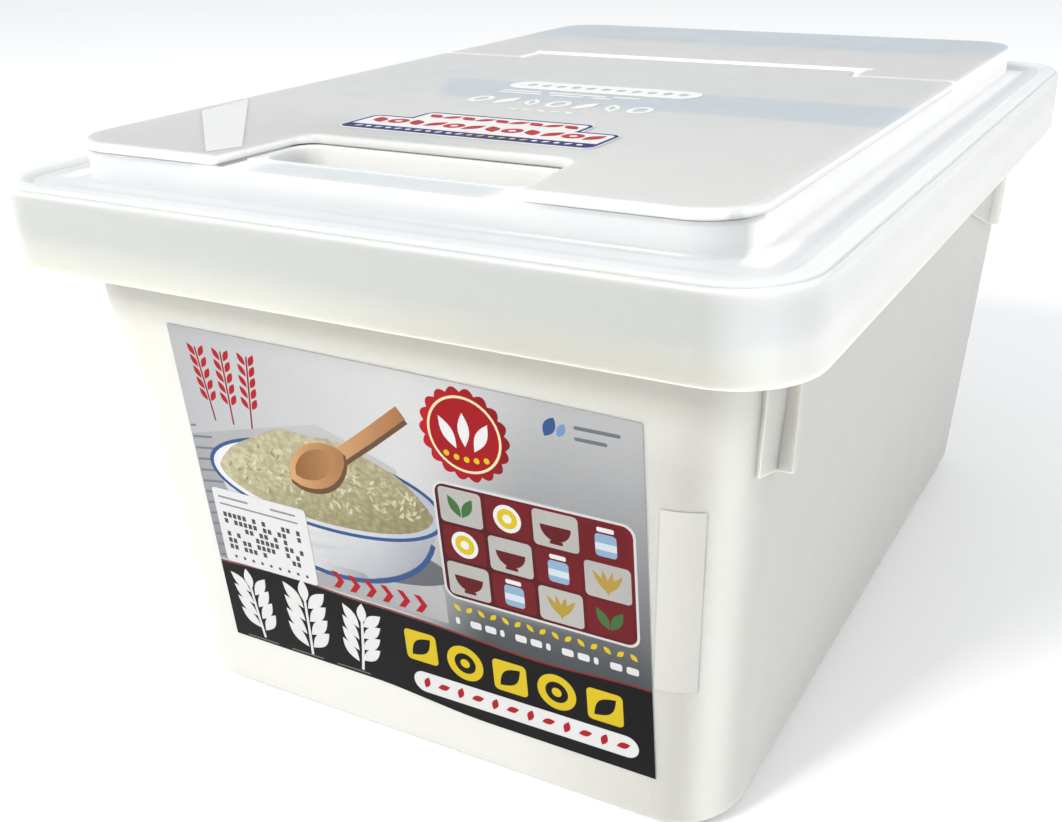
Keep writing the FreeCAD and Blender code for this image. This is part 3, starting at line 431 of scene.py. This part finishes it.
def film(name, body, outline, shapes, place, thick, mat, grid=6.0, ground=(1, 1, 1)):
    """One closed sheet whose upper face is cut along every shape. A shape is (polygon, colour, mask).
    A colour is linear RGB, or a function of (x, y). place(x, y, h) gives the point in mm."""
    verts, edges = [], []
    for poly in [outline] + [s[0] for s in shapes]:
        k = len(verts)
        verts += [Vector((round(p[0], 4), round(p[1], 4))) for p in poly]
        edges += [(k + i, k + (i + 1) % len(poly)) for i in range(len(poly))]
    o = np.array(outline, float)
    x0, y0, x1, y1 = *o.min(0), *o.max(0)
    gx = np.arange(x0 + grid / 2, x1, grid)
    gy = np.arange(y0 + grid / 2, y1, grid)
    gp = np.array([(a, b) for a in gx for b in gy]) if grid else np.zeros((0, 2))
    if len(gp):
        gp = gp[inside(outline, gp)]
        verts += [Vector(p) for p in gp]
    v, _, f, _, _, _ = geometry.delaunay_2d_cdt(verts, edges, [], 0, 1e-4)
    P = np.array([(p.x, p.y) for p in v])
    T = np.array([t for t in f if len(t) == 3])
    cen = P[T].mean(1)
    keep = inside(outline, cen)
    d1, d2 = P[T[:, 1]] - P[T[:, 0]], P[T[:, 2]] - P[T[:, 0]]
    keep &= np.abs(d1[:, 0] * d2[:, 1] - d1[:, 1] * d2[:, 0]) > 1e-7
    T, cen = T[keep], cen[keep]
    top = np.full(len(T), -1)
    for i, s in enumerate(shapes):
        q = np.array(s[0], float)
        lo, hi = q.min(0), q.max(0)
        near = np.where(((cen >= lo) & (cen <= hi)).all(1))[0]
        if len(near):
            top[near[inside(q, cen[near])]] = i
    used = np.unique(T)
    back = {int(u): i for i, u in enumerate(used)}
    T = np.array([[back[int(a)] for a in t] for t in T])
    P = P[used]
    n = len(P)
    co = [Vector(place(x, y, thick)) * MM for x, y in P] + [Vector(place(x, y, 0.0)) * MM for x, y in P]
    count = {}
    for t in T:
        for a, c in ((t[0], t[1]), (t[1], t[2]), (t[2], t[0])):
            count[(int(a), int(c))] = 1
    rim = [(a, c) for (a, c) in count if (c, a) not in count]
    faces = [tuple(int(a) for a in t) for t in T]
    under = [tuple(int(a) + n for a in t[::-1]) for t in T]
    walls = [(a + n, c + n, c, a) for a, c in rim]
    me = bpy.data.meshes.new(name)
    me.from_pydata(co, [], faces + under + walls)
    me.update()
    col = me.color_attributes.new("art", "FLOAT_COLOR", "CORNER")
    msk = me.color_attributes.new("mask", "FLOAT_COLOR", "CORNER")
    cs, ms = [], []
    gc = ground if callable(ground) else (lambda x, y: ground)
    for k, t in enumerate(T):
        s = shapes[top[k]] if top[k] >= 0 else (None, ground, (0, 0, 0))
        mk = s[2] if len(s) > 2 else (0, 0, 0)
        for a in t:
            c = s[1](*P[a]) if callable(s[1]) else (s[1] if s[1] is not None else gc(*P[a]))
            cs += [c[0], c[1], c[2], 1.0]
            ms += [mk[0], mk[1], mk[2], 1.0]
    for fc_ in under:
        for a in fc_:
            cs += [0.8, 0.8, 0.8, 1.0]
            ms += [0, 0, 0, 1.0]
    for fc_ in walls:
        for a in fc_:
            cs += [0.85, 0.85, 0.85, 1.0]
            ms += [0, 0, 0, 1.0]
    col.data.foreach_set("color", cs)
    msk.data.foreach_set("color", ms)
    me.materials.append(mat)
    ob = bpy.data.objects.new(name, me)
    scene.collection.objects.link(ob)
    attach(ob, body)
    return ob


def paper(name, rough=0.34, spec=0.5, wrinkle=0.25, dim=1.0):
    """Printed film: colour from the cut shapes, with print grain, rice texture, gloss and faint wrinkles."""
    m = Mat(name)
    art = m.attr("art", "Color")
    sep = m.t.nodes.new("ShaderNodeSeparateColor")
    m.link(m.attr("mask", "Color"), sep.inputs[0])
    rice, soft, glossy = sep.outputs[0], sep.outputs[1], sep.outputs[2]
    # rice: small long grains with darker gaps
    v1 = m.voronoi(430.0, co=m.scaled(1.0, 1.0, 1.7, (0.3, 0.7, 0.2)))
    v2 = m.voronoi(360.0, co=m.scaled(1.8, 1.0, 1.0, (0.1, 0.5, 0.9)))
    tone = m.math("MULTIPLY", m.span(v1.outputs["Distance"], 0.1, 0.75, 1.08, 0.80),
                  m.span(v2.outputs["Distance"], 0.1, 0.8, 1.06, 0.86))
    grains = m.t.nodes.new("ShaderNodeMix")
    grains.data_type = "RGBA"
    grains.blend_type = "MULTIPLY"
    m.link(rice, grains.inputs[0])
    m.link(art, grains.inputs[6])
    comb = m.t.nodes.new("ShaderNodeCombineColor")
    for i in range(3):
        m.link(tone, comb.inputs[i])
    m.link(comb.outputs[0], grains.inputs[7])
    # print grain and slow density changes
    dots = m.span(m.noise(3200.0, 2.0, 0.6), 0.3, 0.7, 0.94, 1.05)
    slow = m.span(m.noise(30.0, 3.0, 0.6), 0.3, 0.7, 0.93, 1.05)
    slow = m.math("MULTIPLY_ADD", m.math("SUBTRACT", slow, 1.0), m.math("ADD", soft, 0.35), 1.0)
    mul = m.t.nodes.new("ShaderNodeVectorMath")
    mul.operation = "SCALE"
    m.link(grains.outputs[2], mul.inputs[0])
    m.link(m.math("MULTIPLY", m.math("MULTIPLY", dots, slow), dim), mul.inputs["Scale"])
    r = m.span(m.noise(300.0, 3.0, 0.6), 0.3, 0.7, rough - 0.04, rough + 0.06)
    nb = m.bump(m.noise(34.0, 2.0, 0.5), wrinkle, 0.0006)
    nb = m.bump(m.noise(1500.0, 2.0, 0.5), 0.05, 0.00004, nb)
    m.set(Base_Color=mul.outputs[0], Roughness=r, Normal=nb)
    m.b.inputs["Specular IOR Level"].default_value = spec
    return m.m


def L(r, g, b):
    return rgb(r, g, b)[:3]


def blend_lin(c0, c1, f):
    f = max(0.0, min(1.0, f))
    return tuple(a + (b - a) * f for a, b in zip(c0, c1))


# ---- front wall: height z and across x, in millimetres, to a point in space
DRAFT = (148.18 - 135.5) / 159.6


def on_front(x, z, h):
    k = math.hypot(1.0, DRAFT)
    return (x, -(135.5 + DRAFT * z) - h / k - 0.01, z + h * DRAFT / k)


def label_wave(x):
    """The film's lower part is laid on with a slight kink: how much it dips."""
    t = max(0.0, min(1.0, (x + 14.0) / 38.0))
    return -2.6 * t * t * (3 - 2 * t)


RED, DRED, BLUE, NAVY = L(186, 22, 36), L(112, 22, 30), L(58, 92, 150), L(24, 34, 110)
RICE, WHITE, BLACK, YEL = L(206, 200, 160), L(244, 244, 244), L(9, 5, 8), L(232, 204, 34)


def label_ground(x, z):
    light = blend_lin(L(196, 197, 201), L(226, 226, 227), (x + 66) / 70.0)
    f = max(0.0, min(1.0, (x - 2.0 + (90.0 - z) * 0.35) / 40.0))
    dark = blend_lin(L(196, 197, 199), L(82, 86, 90), (120.0 - z) / 70.0)
    return blend_lin(light, dark, f * f * (3 - 2 * f))


def label_art():
    s = []
    rnd = np.random.RandomState(7)
    # left: cloth, and a bowl heaped with rice
    cloth = [(-66.4, 50.5), (14.5, 50.5), (14.5, 60.0), (4.0, 96.0), (-20.0, 104.0), (-66.4, 92.0)]
    s.append((cloth, lambda x, z: blend_lin(L(150, 152, 158), L(206, 206, 208), (x + 66) / 110.0 + (z - 50) / 90.0), (0, 1, 0)))
    for k in range(13):
        z0 = 51.5 + k * 3.6
        s.append((band([(-66.0, z0), (-66.0 + 0.9 * min(70.0, (96 - z0) * 1.6), z0 + 0.14 * min(70.0, (96 - z0) * 1.6))], 0.7),
                  L(126, 132, 146), (0, 1, 0)))
    s.append((oval(-18, 66, 35, 7.5, 48), L(112, 114, 122), (0, 1, 0)))
    bowl = oval(-22, 84, 37, 27, 44, 180, 360)
    s.append((bowl, lambda x, z: blend_lin(L(250, 250, 250), L(150, 156, 170), abs(x + 34) / 60.0 + (74 - z) / 60.0), (0, 1, 0)))
    s.append((box2(-33, -11, 55.4, 59.4, 1.4), lambda x, z: blend_lin(L(226, 228, 232), L(150, 154, 164), (x + 30) / 22.0), (0, 1, 0)))
    stripe = [(-22 + 35.6 * math.cos(t), 80.0 + 24.0 * math.sin(t)) for t in [math.pi + math.pi * i / 30 for i in range(31)]]
    s.append((band(stripe[2:-2], 1.5), BLUE))
    s.append((oval(-22, 84, 39.6, 13.4, 60), BLUE))
    s.append((oval(-22, 84, 38.2, 12.3, 60), lambda x, z: blend_lin(L(244, 245, 248), L(190, 196, 208), (x + 50) / 70.0), (0, 1, 0)))
    heap = []
    for i in range(51):
        t = i / 50.0
        x = -22 - 36 + 72 * t
        heap.append((x, 84 + 17.0 * math.sin(math.pi * t) ** 0.8 + 0.7 * math.sin(9 * t) + 0.5 * math.sin(23 * t)))
    heap += [(-22 + 36 * math.cos(a), 84 - 11.0 * math.sin(a)) for a in [math.pi * j / 36 for j in range(1, 36)]]
    s.append((heap, lambda x, z: blend_lin(L(214, 208, 170), L(146, 136, 88), (x + 34) / 46.0 * 0.5 + (90 - z) / 42.0), (1, 1, 0)))
    for i in range(260):
        a, q = rnd.rand() * 2 * math.pi, math.sqrt(rnd.rand())
        x, z = -22 + 33 * q * math.cos(a), 85.5 + 8.8 * q * math.sin(a) + 4.0 * (1 - q)
        c = blend_lin(L(234, 230, 200), L(160, 150, 100), rnd.rand())
        s.append((leaf(x, z, 2.5, 0.9, rnd.rand() * 180, 4), c, (0.4, 0, 0)))
    # wooden scoop across the heap
    s.append((band([(-15, 94), (-3, 103), (8.5, 112)], 4.6), L(112, 84, 60), (0, 1, 0)))
    s.append((band([(-15.4, 95), (-3.4, 104), (8.1, 113)], 4.0), lambda x, z: blend_lin(L(222, 172, 122), L(176, 118, 74), (x + 15) / 24), (0, 1, 0)))
    s.append((leaf(-22, 90.0, 24, 14.0, 32, 14, 0.6), L(116, 86, 56), (0, 1, 0)))
    s.append((leaf(-22.4, 91.0, 23, 13.0, 32, 14, 0.6), lambda x, z: blend_lin(L(226, 176, 124), L(184, 128, 80), (x + 32) / 20), (0, 1, 0)))
    s.append((leaf(-23.0, 91.2, 17, 8.4, 32, 12, 0.6), lambda x, z: blend_lin(L(150, 98, 56), L(206, 152, 100), (x + 31) / 18), (0, 1, 0)))
    # upper left: ears of grain in red
    for cx, tilt in ((-56, 8), (-49.5, -2), (-43, -12)):
        s.append((band([(cx, 98), (cx + 0.25 * tilt * -1, 120)], 0.55), L(150, 30, 36)))
        for j in range(5):
            z = 105 + j * 3.3
            x = cx - 0.011 * tilt * (z - 98)
            for sg in (-1, 1):
                s.append((leaf(x + sg * 1.7, z + 0.8, 4.2, 1.8, 90 - sg * 32, 6), RED))
    # round badge, scalloped
    s.append((scallop(26.4, 110.4, 13.0, 1.3, 18, 6), lambda x, z: blend_lin(L(196, 24, 38), L(140, 12, 26), (x - 14) / 26), (0, 0, 1)))
    s.append((oval(26.4, 110.4, 10.6, None, 44), L(250, 236, 190)))
    s.append((oval(26.4, 110.4, 9.9, None, 44), L(172, 16, 30)))
    for k in range(3):
        s.append((leaf(26.4 + (k - 1) * 4.8, 111.8 - abs(k - 1) * 1.4, 9.4, 3.3, 90 - (k - 1) * 28, 8), WHITE))
    for k in range(5):
        s.append((oval(26.4 + (k - 2) * 2.9, 103.6 + 0.2 * (k - 2) ** 2, 0.85, None, 10), YEL))
    # blue drop and short grey rules
    s.append((leaf(50.5, 117.6, 6.0, 3.2, 62, 8, 0.8), BLUE))
    s.append((leaf(53.6, 117.2, 4.2, 2.2, 62, 8, 0.8), L(120, 160, 205)))
    for k, w in enumerate((12.0, 8.5)):
        s.append((box2(57.0, 57.0 + w, 118.2 - k * 2.9, 119.2 - k * 2.9, 0.5), L(120, 124, 130)))
    # dark red panel of tiles with plain kitchen things
    px0, px1, pz0, pz1 = 15.5, 71.0, 60.5, 95.0
    s.append((box2(px0 - 0.7, px1 + 0.7, pz0 - 0.7, pz1 + 0.7, 3.4), L(226, 226, 226)))
    s.append((box2(px0, px1, pz0, pz1, 2.9), lambda x, z: blend_lin(L(130, 30, 36), L(84, 16, 24), (px1 - x) / 60 + (pz1 - z) / 60), (0, 1, 0)))
    tw, th = (px1 - px0 - 5.0) / 4, (pz1 - pz0 - 3.4) / 3
    for i in range(4):
        for j in range(3):
            cx, cz = px0 + 1.0 + tw * (i + 0.5) + i * 1.0, pz0 + 0.8 + th * (j + 0.5) + j * 0.9
            kind = (i * 2 + j * 3) % 5
            g = (i + j) % 2
            s.append((box2(cx - tw / 2, cx + tw / 2, cz - th / 2, cz + th / 2, 1.2, 3),
                      (lambda a, b: (lambda x, z: blend_lin(a, b, (x - cx) / tw + 0.5)))(
                          L(150, 42, 48) if g else L(222, 220, 214), L(118, 26, 34) if g else L(196, 194, 190)), (0, 1, 0)))
            ink = WHITE if g else L(104, 24, 32)
            if kind == 0:      # bowl
                s.append((oval(cx, cz + 1.2, 4.3, 4.4, 20, 180, 360), ink))
                s.append((box2(cx - 1.8, cx + 1.8, cz - 4.0, cz - 3.0), ink))
            elif kind == 1:    # leaf pair
                for sg in (-1, 1):
                    s.append((leaf(cx + sg * 1.9, cz, 7.0, 2.8, 90 - sg * 30, 8), L(70, 118, 66)))
            elif kind == 2:    # jar
                s.append((box2(cx - 2.9, cx + 2.9, cz - 4.0, cz + 2.4, 1.0, 3), L(150, 184, 214)))
                s.append((box2(cx - 2.3, cx + 2.3, cz + 2.9, cz + 4.2, 0.4, 3), ink))
                s.append((box2(cx - 2.9, cx + 2.9, cz - 2.2, cz - 0.2), L(222, 232, 240)))
            elif kind == 3:    # ring and dot
                s.append((oval(cx, cz, 4.0, None, 28), ink))
                s.append((oval(cx, cz, 2.9, None, 28), L(186, 22, 36) if not g else L(228, 200, 30)))
                s.append((oval(cx, cz, 1.3, None, 16), WHITE))
            else:              # grain fan
                for q in (-36, -12, 12, 36):
                    s.append((leaf(cx + 0.055 * q, cz - 0.3, 7.4, 1.7, 90 - q, 7), L(224, 210, 150) if g else L(190, 160, 70)))
    # marks under the panel
    for k in range(15):
        s.append((leaf(18.0 + k * 3.7, 56.9, 2.8, 1.5, 45 if k % 2 else -45, 5), YEL))
    for k in range(12):
        w = 3.4 if k % 3 else 1.3
        s.append((box2(17.0 + k * 4.6, 17.0 + k * 4.6 + w, 51.4, 53.6, 0.6, 3), L(236, 237, 238)))
    # red chevrons
    for k in range(6):
        x = -24.0 + k * 5.6
        s.append(([(x, 51.6), (x + 2.1, 51.6), (x + 4.2, 54.4), (x + 2.1, 57.2), (x, 57.2), (x + 2.1, 54.4)], RED))
    # dark lower band with a wavy upper edge
    top = [(x, 49.6 + label_wave(x) + 0.6 * math.sin(x / 9.0)) for x in np.linspace(76, -69, 59)]
    s.append(([(-69, 10), (76, 10)] + top, BLACK, (0, 0, 1)))
    s.append((band([(x, 49.9 + label_wave(x) + 0.6 * math.sin(x / 9.0)) for x in np.linspace(-69, 76, 59)], 0.5), L(150, 30, 40)))
    # yellow blocks
    for k in range(5):
        x = 4.0 + k * 14.2
        z = 40.4 + label_wave(x) * 0.9
        if k % 2 == 0:
            s.append((box2(x - 5.2, x + 5.2, z - 5.2, z + 5.2, 1.4, 3), YEL))
            s.append((leaf(x, z, 9.4, 4.6, 45, 8), BLACK, (0, 0, 1)))
        else:
            s.append((oval(x, z, 5.8, None, 32), YEL))
            s.append((oval(x, z, 3.4, None, 24), BLACK, (0, 0, 1)))
            s.append((oval(x, z, 1.5, None, 14), YEL))
    # white pill with red grains
    s.append((box2(0.0, 70.0, 23.4, 30.6, 3.59, 8), WHITE))
    for k in range(12):
        s.append((leaf(4.4 + k * 5.56, 27.0, 4.4, 2.1, 20 if k % 2 else 70, 6), RED))
    # large white ears of grain on the left of the band
    for cx, cz, tilt, n_, sc in ((-55.0, 25.6, 6, 4, 1.02), (-37.0, 25.0, -3, 4, 1.16), (-18.5, 25.4, -9, 4, 1.02)):
        tx = math.tan(math.radians(-tilt))
        s.append((band([(cx, cz - 1.5), (cx + tx * 8, cz + 6), (cx + tx * 17, cz + 17 * sc)], 0.9), WHITE))
        for j in range(n_):
            z = cz + 3.0 + j * 4.1 * sc
            x = cx + tx * (z - cz)
            for sg in (-1, 1):
                s.append((leaf(x + sg * 3.6 * sc, z + 1.9, 8.6 * sc, 3.5 * sc, 90 + tilt - sg * 42, 8), WHITE))
        s.append((leaf(cx + tx * 18, cz + 2.6 + n_ * 4.1 * sc, 7.2 * sc, 3.2 * sc, 90 + tilt, 8), WHITE))
    for k in range(3):
        s.append((box2(-62.0 + k * 17.0, -62.0 + k * 17.0 + 12.0, 22.9, 23.4), L(120, 116, 118)))
    return s


label_mat = paper("printed_label", 0.32, 0.10, 0.25, 0.54)
outline = []
for x in np.linspace(-66.5, 74.5, 30):
    outline.append((x, 22.4 - 0.9 * (x + 66.5) / 141.0 + label_wave(x)))
for x in np.linspace(74.5, -66.5, 12):
    t = (x + 66.5) / 141.0
    outline.append((x, 125.4 - 0.6 * t - 1.6 * t * t))


def label_place(x, z, h):
    # lies a little proud along its kink, as film laid on by hand does
    lift = 0.10 * math.exp(-((x - 4.0 - (z - 60) * 0.1) / 9.0) ** 2) if h > 0 else 0.0
    return on_front(x, z, h + lift)


front_label = film("front_label_print", "bin", outline, label_art(), label_place, 0.2, label_mat, 5.0, label_ground)
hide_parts("front_label")


# ---- white data sticker over the label
def data_art():
    s = []
    rnd = np.random.RandomState(11)
    grey, ink = L(150, 150, 154), L(70, 70, 74)
    for k, (x0, w) in enumerate(((-61.5, 11.0), (-42.5, 9.0))):
        s.append((box2(x0, x0 + w, 72.3, 73.0), grey))
    s.append((box2(-61.5, -33.0, 70.0, 70.6), grey))
    for i in range(16):
        for j in range(6):
            if rnd.rand() < 0.62:
                x, z = -61.0 + i * 1.78, 55.0 + j * 2.2
                s.append((box2(x, x + 1.3, z, z + 1.6), ink))
    for i in range(9):
        s.append((oval(-59.6 + i * 3.3, 52.4, 0.55, None, 8), ink))
    return s


sticker_mat = paper("white_sticker", 0.40, 0.2, 0.12, 0.56)
top_sticker_mat = paper("white_sticker_on_flap", 0.42, 0.08, 0.10, 0.70)
data = film("data_sticker_print", "bin", box2(-63.4, -29.6, 50.2, 75.4, 1.2), data_art(),
            lambda x, z, h: on_front(x, z, h + 0.2), 0.14, sticker_mat, 6.0, L(236, 236, 238))
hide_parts("data_sticker")


# ---- sticker on the flap
def on_flap(x, y, h):
    return (x, y, 172.0 + h + 0.005)


def step_outline(inset, r=3.4):
    i = inset
    r = max(0.4, r - i)
    return poly_round([(-39.6 + i, -101.0 + i, r), (39.4 - i, -101.0 + i, r), (39.4 - i, -82.0 - i, r),
                       (27.0 - i, -82.0 - i, 0.01), (27.0 - i, -72.6 - i, r), (-27.5 + i, -72.6 - i, r),
                       (-27.5 + i, -82.0 - i, 0.01), (-39.6 + i, -82.0 - i, r)], 0, 6)


def flap_sticker_art():
    s = [(step_outline(0.45), NAVY), (step_outline(1.65), WHITE)]
    s.append((poly_round([(-38.6, -100.0, 2.4), (38.4, -100.0, 2.4), (38.4, -95.2, 0.2), (-38.6, -95.2, 0.2)], 0, 6), NAVY))
    for k in range(9):
        s.append((leaf(-21.6 + k * 5.4, -78.2, 6.6, 3.6, 38 if k % 2 else 142, 8), RED))
    for k in range(12):
        x = -33.4 + k * 6.1
        if k % 3 == 1:
            s.append((oval(x, -88.4, 3.1, None, 24), RED))
            s.append((oval(x, -88.4, 1.1, None, 16), WHITE))
        else:
            s.append((leaf(x, -88.4, 8.0, 4.2, 60 if k % 2 else 120, 8), RED))
    for k in range(22):
        c = YEL if 11 <= k < 17 else WHITE
        if k % 2:
            s.append((oval(-34.0 + k * 3.25, -97.5, 0.85, None, 12), c))
        else:
            s.append((leaf(-34.0 + k * 3.25, -97.5, 2.6, 1.3, 45, 6), c))
    return s


flap_st = film("flap_sticker_print", "flap", step_outline(0.0), flap_sticker_art(), on_flap, 0.18, top_sticker_mat, 8.0, WHITE)
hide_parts("flap_sticker")

# ---- white ink printed on the flap: thin raised shapes, each closed
ink = Mat("white_ink")
ic = ink.mix(ink.span(ink.noise(420.0, 3.0), 0.35, 0.65), rgb(218, 219, 217), rgb(208, 210, 209))
ink.set(Base_Color=ic, Roughness=ink.span(ink.noise(900.0, 2.0), 0.3, 0.7, 0.5, 0.62),
        Normal=ink.bump(ink.noise(1200.0, 2.0), 0.1, 0.00005))
ink.b.inputs["Subsurface Weight"].default_value = 0.0


def ink_shapes():
    out = []
    ring = box2(-32.5, 33.5, -25.2, -11.6, 6.7, 8)
    out.append((ring, [oval(-25.0 + k * 5.3, -18.4, 1.5, 2.2, 12) for k in range(11)]))
    for k in range(6):
        w = (14, 20, 9, 16, 12, 7)[k]
        x = -29.0 + (0, 16.5, 38.5, 0, 18.5, 33.0)[k]
        z = -30.0 if k < 3 else -33.4
        out.append((box2(x, x + w, z - 0.8, z + 0.8, 0.7, 3), []))
    for k in range(7):
        cx = -26.5 + k * 8.9
        if k % 3 == 0:
            out.append((oval(cx, -47.0, 3.7, 5.2, 26), [oval(cx, -47.0, 1.9, 3.3, 20)]))
        elif k % 3 == 1:
            out.append((leaf(cx, -47.0, 12.0, 4.6, 72, 9), []))
        else:
            out.append((leaf(cx, -47.0, 12.0, 4.6, 108, 9), [leaf(cx, -47.0, 6.5, 1.9, 108, 7)]))
    for k in range(5):
        out.append((leaf(-8.4 + k * 4.6, -58.6, 3.8, 1.7, 30 if k % 2 else 150, 6), []))
    return out


def raised(name, body, groups, place, thick, mat):
    bm = bmesh.new()
    for outer, holes in groups:
        verts, edges = [], []
        for poly in [outer] + holes:
            k = len(verts)
            verts += [Vector(p) for p in poly]
            edges += [(k + i, k + (i + 1) % len(poly)) for i in range(len(poly))]
        v, _, f, _, _, _ = geometry.delaunay_2d_cdt(verts, edges, [], 0, 1e-5)
        P = np.array([(p.x, p.y) for p in v])
        T = np.array([t for t in f if len(t) == 3])
        cen = P[T].mean(1)
        keep = inside(outer, cen)
        for hpoly in holes:
            keep &= ~inside(hpoly, cen)
        T = T[keep]
        hi = {int(i): bm.verts.new(Vector(place(*P[i], thick)) * MM) for i in np.unique(T)}
        lo = {int(i): bm.verts.new(Vector(place(*P[i], 0.0)) * MM) for i in np.unique(T)}
        dire = set()
        for t in T:
            t = [int(a) for a in t]
            bm.faces.new([hi[a] for a in t])
            bm.faces.new([lo[a] for a in t[::-1]])
            dire |= {(t[0], t[1]), (t[1], t[2]), (t[2], t[0])}
        for a, c in dire:
            if (c, a) not in dire:
                bm.faces.new([lo[a], lo[c], hi[c], hi[a]])
    me = bpy.data.meshes.new(name)
    bm.to_mesh(me)
    bm.free()
    me.materials.append(mat)
    ob = bpy.data.objects.new(name, me)
    scene.collection.objects.link(ob)
    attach(ob, body)
    return ob


flap_ink = raised("flap_white_print", "flap", ink_shapes(), on_flap, 0.05, ink.m)


# ---- tapes: thin glossy film over the plastic, with slow streaks and faint bubbles
def tape(name, base, tint, rough):
    m = Mat(name)
    streak = m.span(m.noise(30.0, 2.0, 0.5, co=m.scaled(1.0, 3.0, 1.0, (0, 0, 0.78))), 0.35, 0.7)
    cells = m.voronoi(260.0)
    bub = m.span(cells.outputs["Distance"], 0.03, 0.08, 0.35, 0.0)
    col = m.mix(m.math("MAXIMUM", streak, bub), base, tint)
    m.set(Base_Color=col, Roughness=m.span(streak, 0.0, 1.0, rough, rough + 0.07),
          Normal=m.bump(m.noise(40.0, 1.0, 0.5), 0.03, 0.0002))
    m.b.inputs["Specular IOR Level"].default_value = 0.45
    return m.m


tape_mat = tape("tape_over_flap", rgb(200, 201, 200), rgb(203, 204, 203), 0.26)
strip = film("tape_strip_film", "flap", [(-91.7, -97.2), (-47.7, -141.4), (-43.9, -132.6), (-93.4, -75.3)], [],
             lambda x, y, h: (x, y, 172.004 + h), 0.05, tape_mat, 8.0)
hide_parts("tape_strip")
assign("side_tape", tape("tape_at_side", rgb(176, 175, 171), rgb(179, 178, 174), 0.30))

# ---- cup print: red film with white motifs, in the plane of the cup's front wall
CUP_AT = (Matrix.Translation((34.0, 62.0, 2.5)) @ Matrix.Rotation(math.radians(24.0), 4, "Z")
          @ Matrix.Translation((0.0, -27.0, 0.0)) @ Matrix.Rotation(math.atan(4.0 / 68.0), 4, "X"))


def on_cup(x, z, h):
    return CUP_AT @ Vector((x, -h, z))


cup_art = [(box2(-12.2, 12.2, 30.8, 53.2, 0.9, 3), WHITE), (box2(-11.6, 11.6, 31.4, 52.6, 0.6, 3), RED)]
for k in range(3):
    cup_art.append((leaf((k - 1) * 5.0, 44.0, 12.0, 4.0, 90 - (k - 1) * 22, 9), WHITE))
for k in range(6):
    cup_art.append((box2(-9.0 + k * 3.1, -9.0 + k * 3.1 + 1.9, 33.4, 35.0, 0.5, 3), WHITE))
cup_print = film("cup_label_print", "cup", box2(-13, 13, 30, 54, 1.3), cup_art, on_cup, 0.2,
                 paper("cup_printed_film", 0.35, 0.5, 0.1), 6.0, WHITE)
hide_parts("cup_label")

# --------------------------------------------------------------------------
# floor, light, camera
# --------------------------------------------------------------------------
bpy.ops.mesh.primitive_plane_add(size=12.0, location=(0, 1.0, -0.0002))
floor = bpy.context.object
floor.name = "floor"
fm = Mat("floor_paper")
fc = fm.mix(fm.noise(3.0, 3.0), rgb(252, 252, 252), rgb(250, 250, 250))
fm.set(Base_Color=fc, Roughness=0.85, Normal=fm.bump(fm.noise(400.0, 3.0), 0.05, 0.0003))
floor.data.materials.append(fm.m)

world = bpy.data.worlds.new("studio")
scene.world = world
world.use_nodes = True
bg = world.node_tree.nodes["Background"]
bg.inputs[0].default_value = (0.965, 0.98, 1.0, 1.0)
bg.inputs[1].default_value = 0.86


def area(name, loc, target, size, power, color=(1, 1, 1), size_y=None):
    d = bpy.data.lights.new(name, "AREA")
    d.energy = power
    d.size = size
    if size_y:
        d.shape = "RECTANGLE"
        d.size_y = size_y
    d.color = color
    o = bpy.data.objects.new(name, d)
    scene.collection.objects.link(o)
    o.location = loc
    v = Vector(target) - Vector(loc)
    o.rotation_euler = v.to_track_quat("-Z", "Y").to_euler()
    return o


area("key", (-0.55, -1.50, 1.30), (0.0, -0.05, 0.12), 0.60, 36.0, (1.0, 0.985, 0.95))
area("fill", (2.1, 0.35, 1.25), (0.0, 0.0, 0.12), 1.3, 12.5, (1.0, 0.99, 0.975))

R = ((0.886885, 0.461759, -0.014628), (0.172894, -0.361102, -0.916359), (-0.428419, 0.810176, -0.400091))
C = (0.180169, -0.367738, 0.233835)
F, CX, CY = 1228.27, 594.37, 410.84
cam_data = bpy.data.cameras.new("camera")
cam_data.sensor_fit = "HORIZONTAL"
cam_data.sensor_width = 36.0
cam_data.lens = F / 1062.0 * 36.0
cam_data.shift_x = -(CX - 531.0) / 1062.0
cam_data.shift_y = (CY - 411.0) / 1062.0
cam_data.clip_start = 0.01
cam_data.clip_end = 50.0
cam = bpy.data.objects.new("camera", cam_data)
scene.collection.objects.link(cam)
rot = Matrix((
    (R[0][0], -R[1][0], -R[2][0], C[0]),
    (R[0][1], -R[1][1], -R[2][1], C[1]),
    (R[0][2], -R[1][2], -R[2][2], C[2]),
    (0, 0, 0, 1)))
cam.matrix_world = rot
scene.camera = cam
scene.view_settings.view_transform = "Standard"
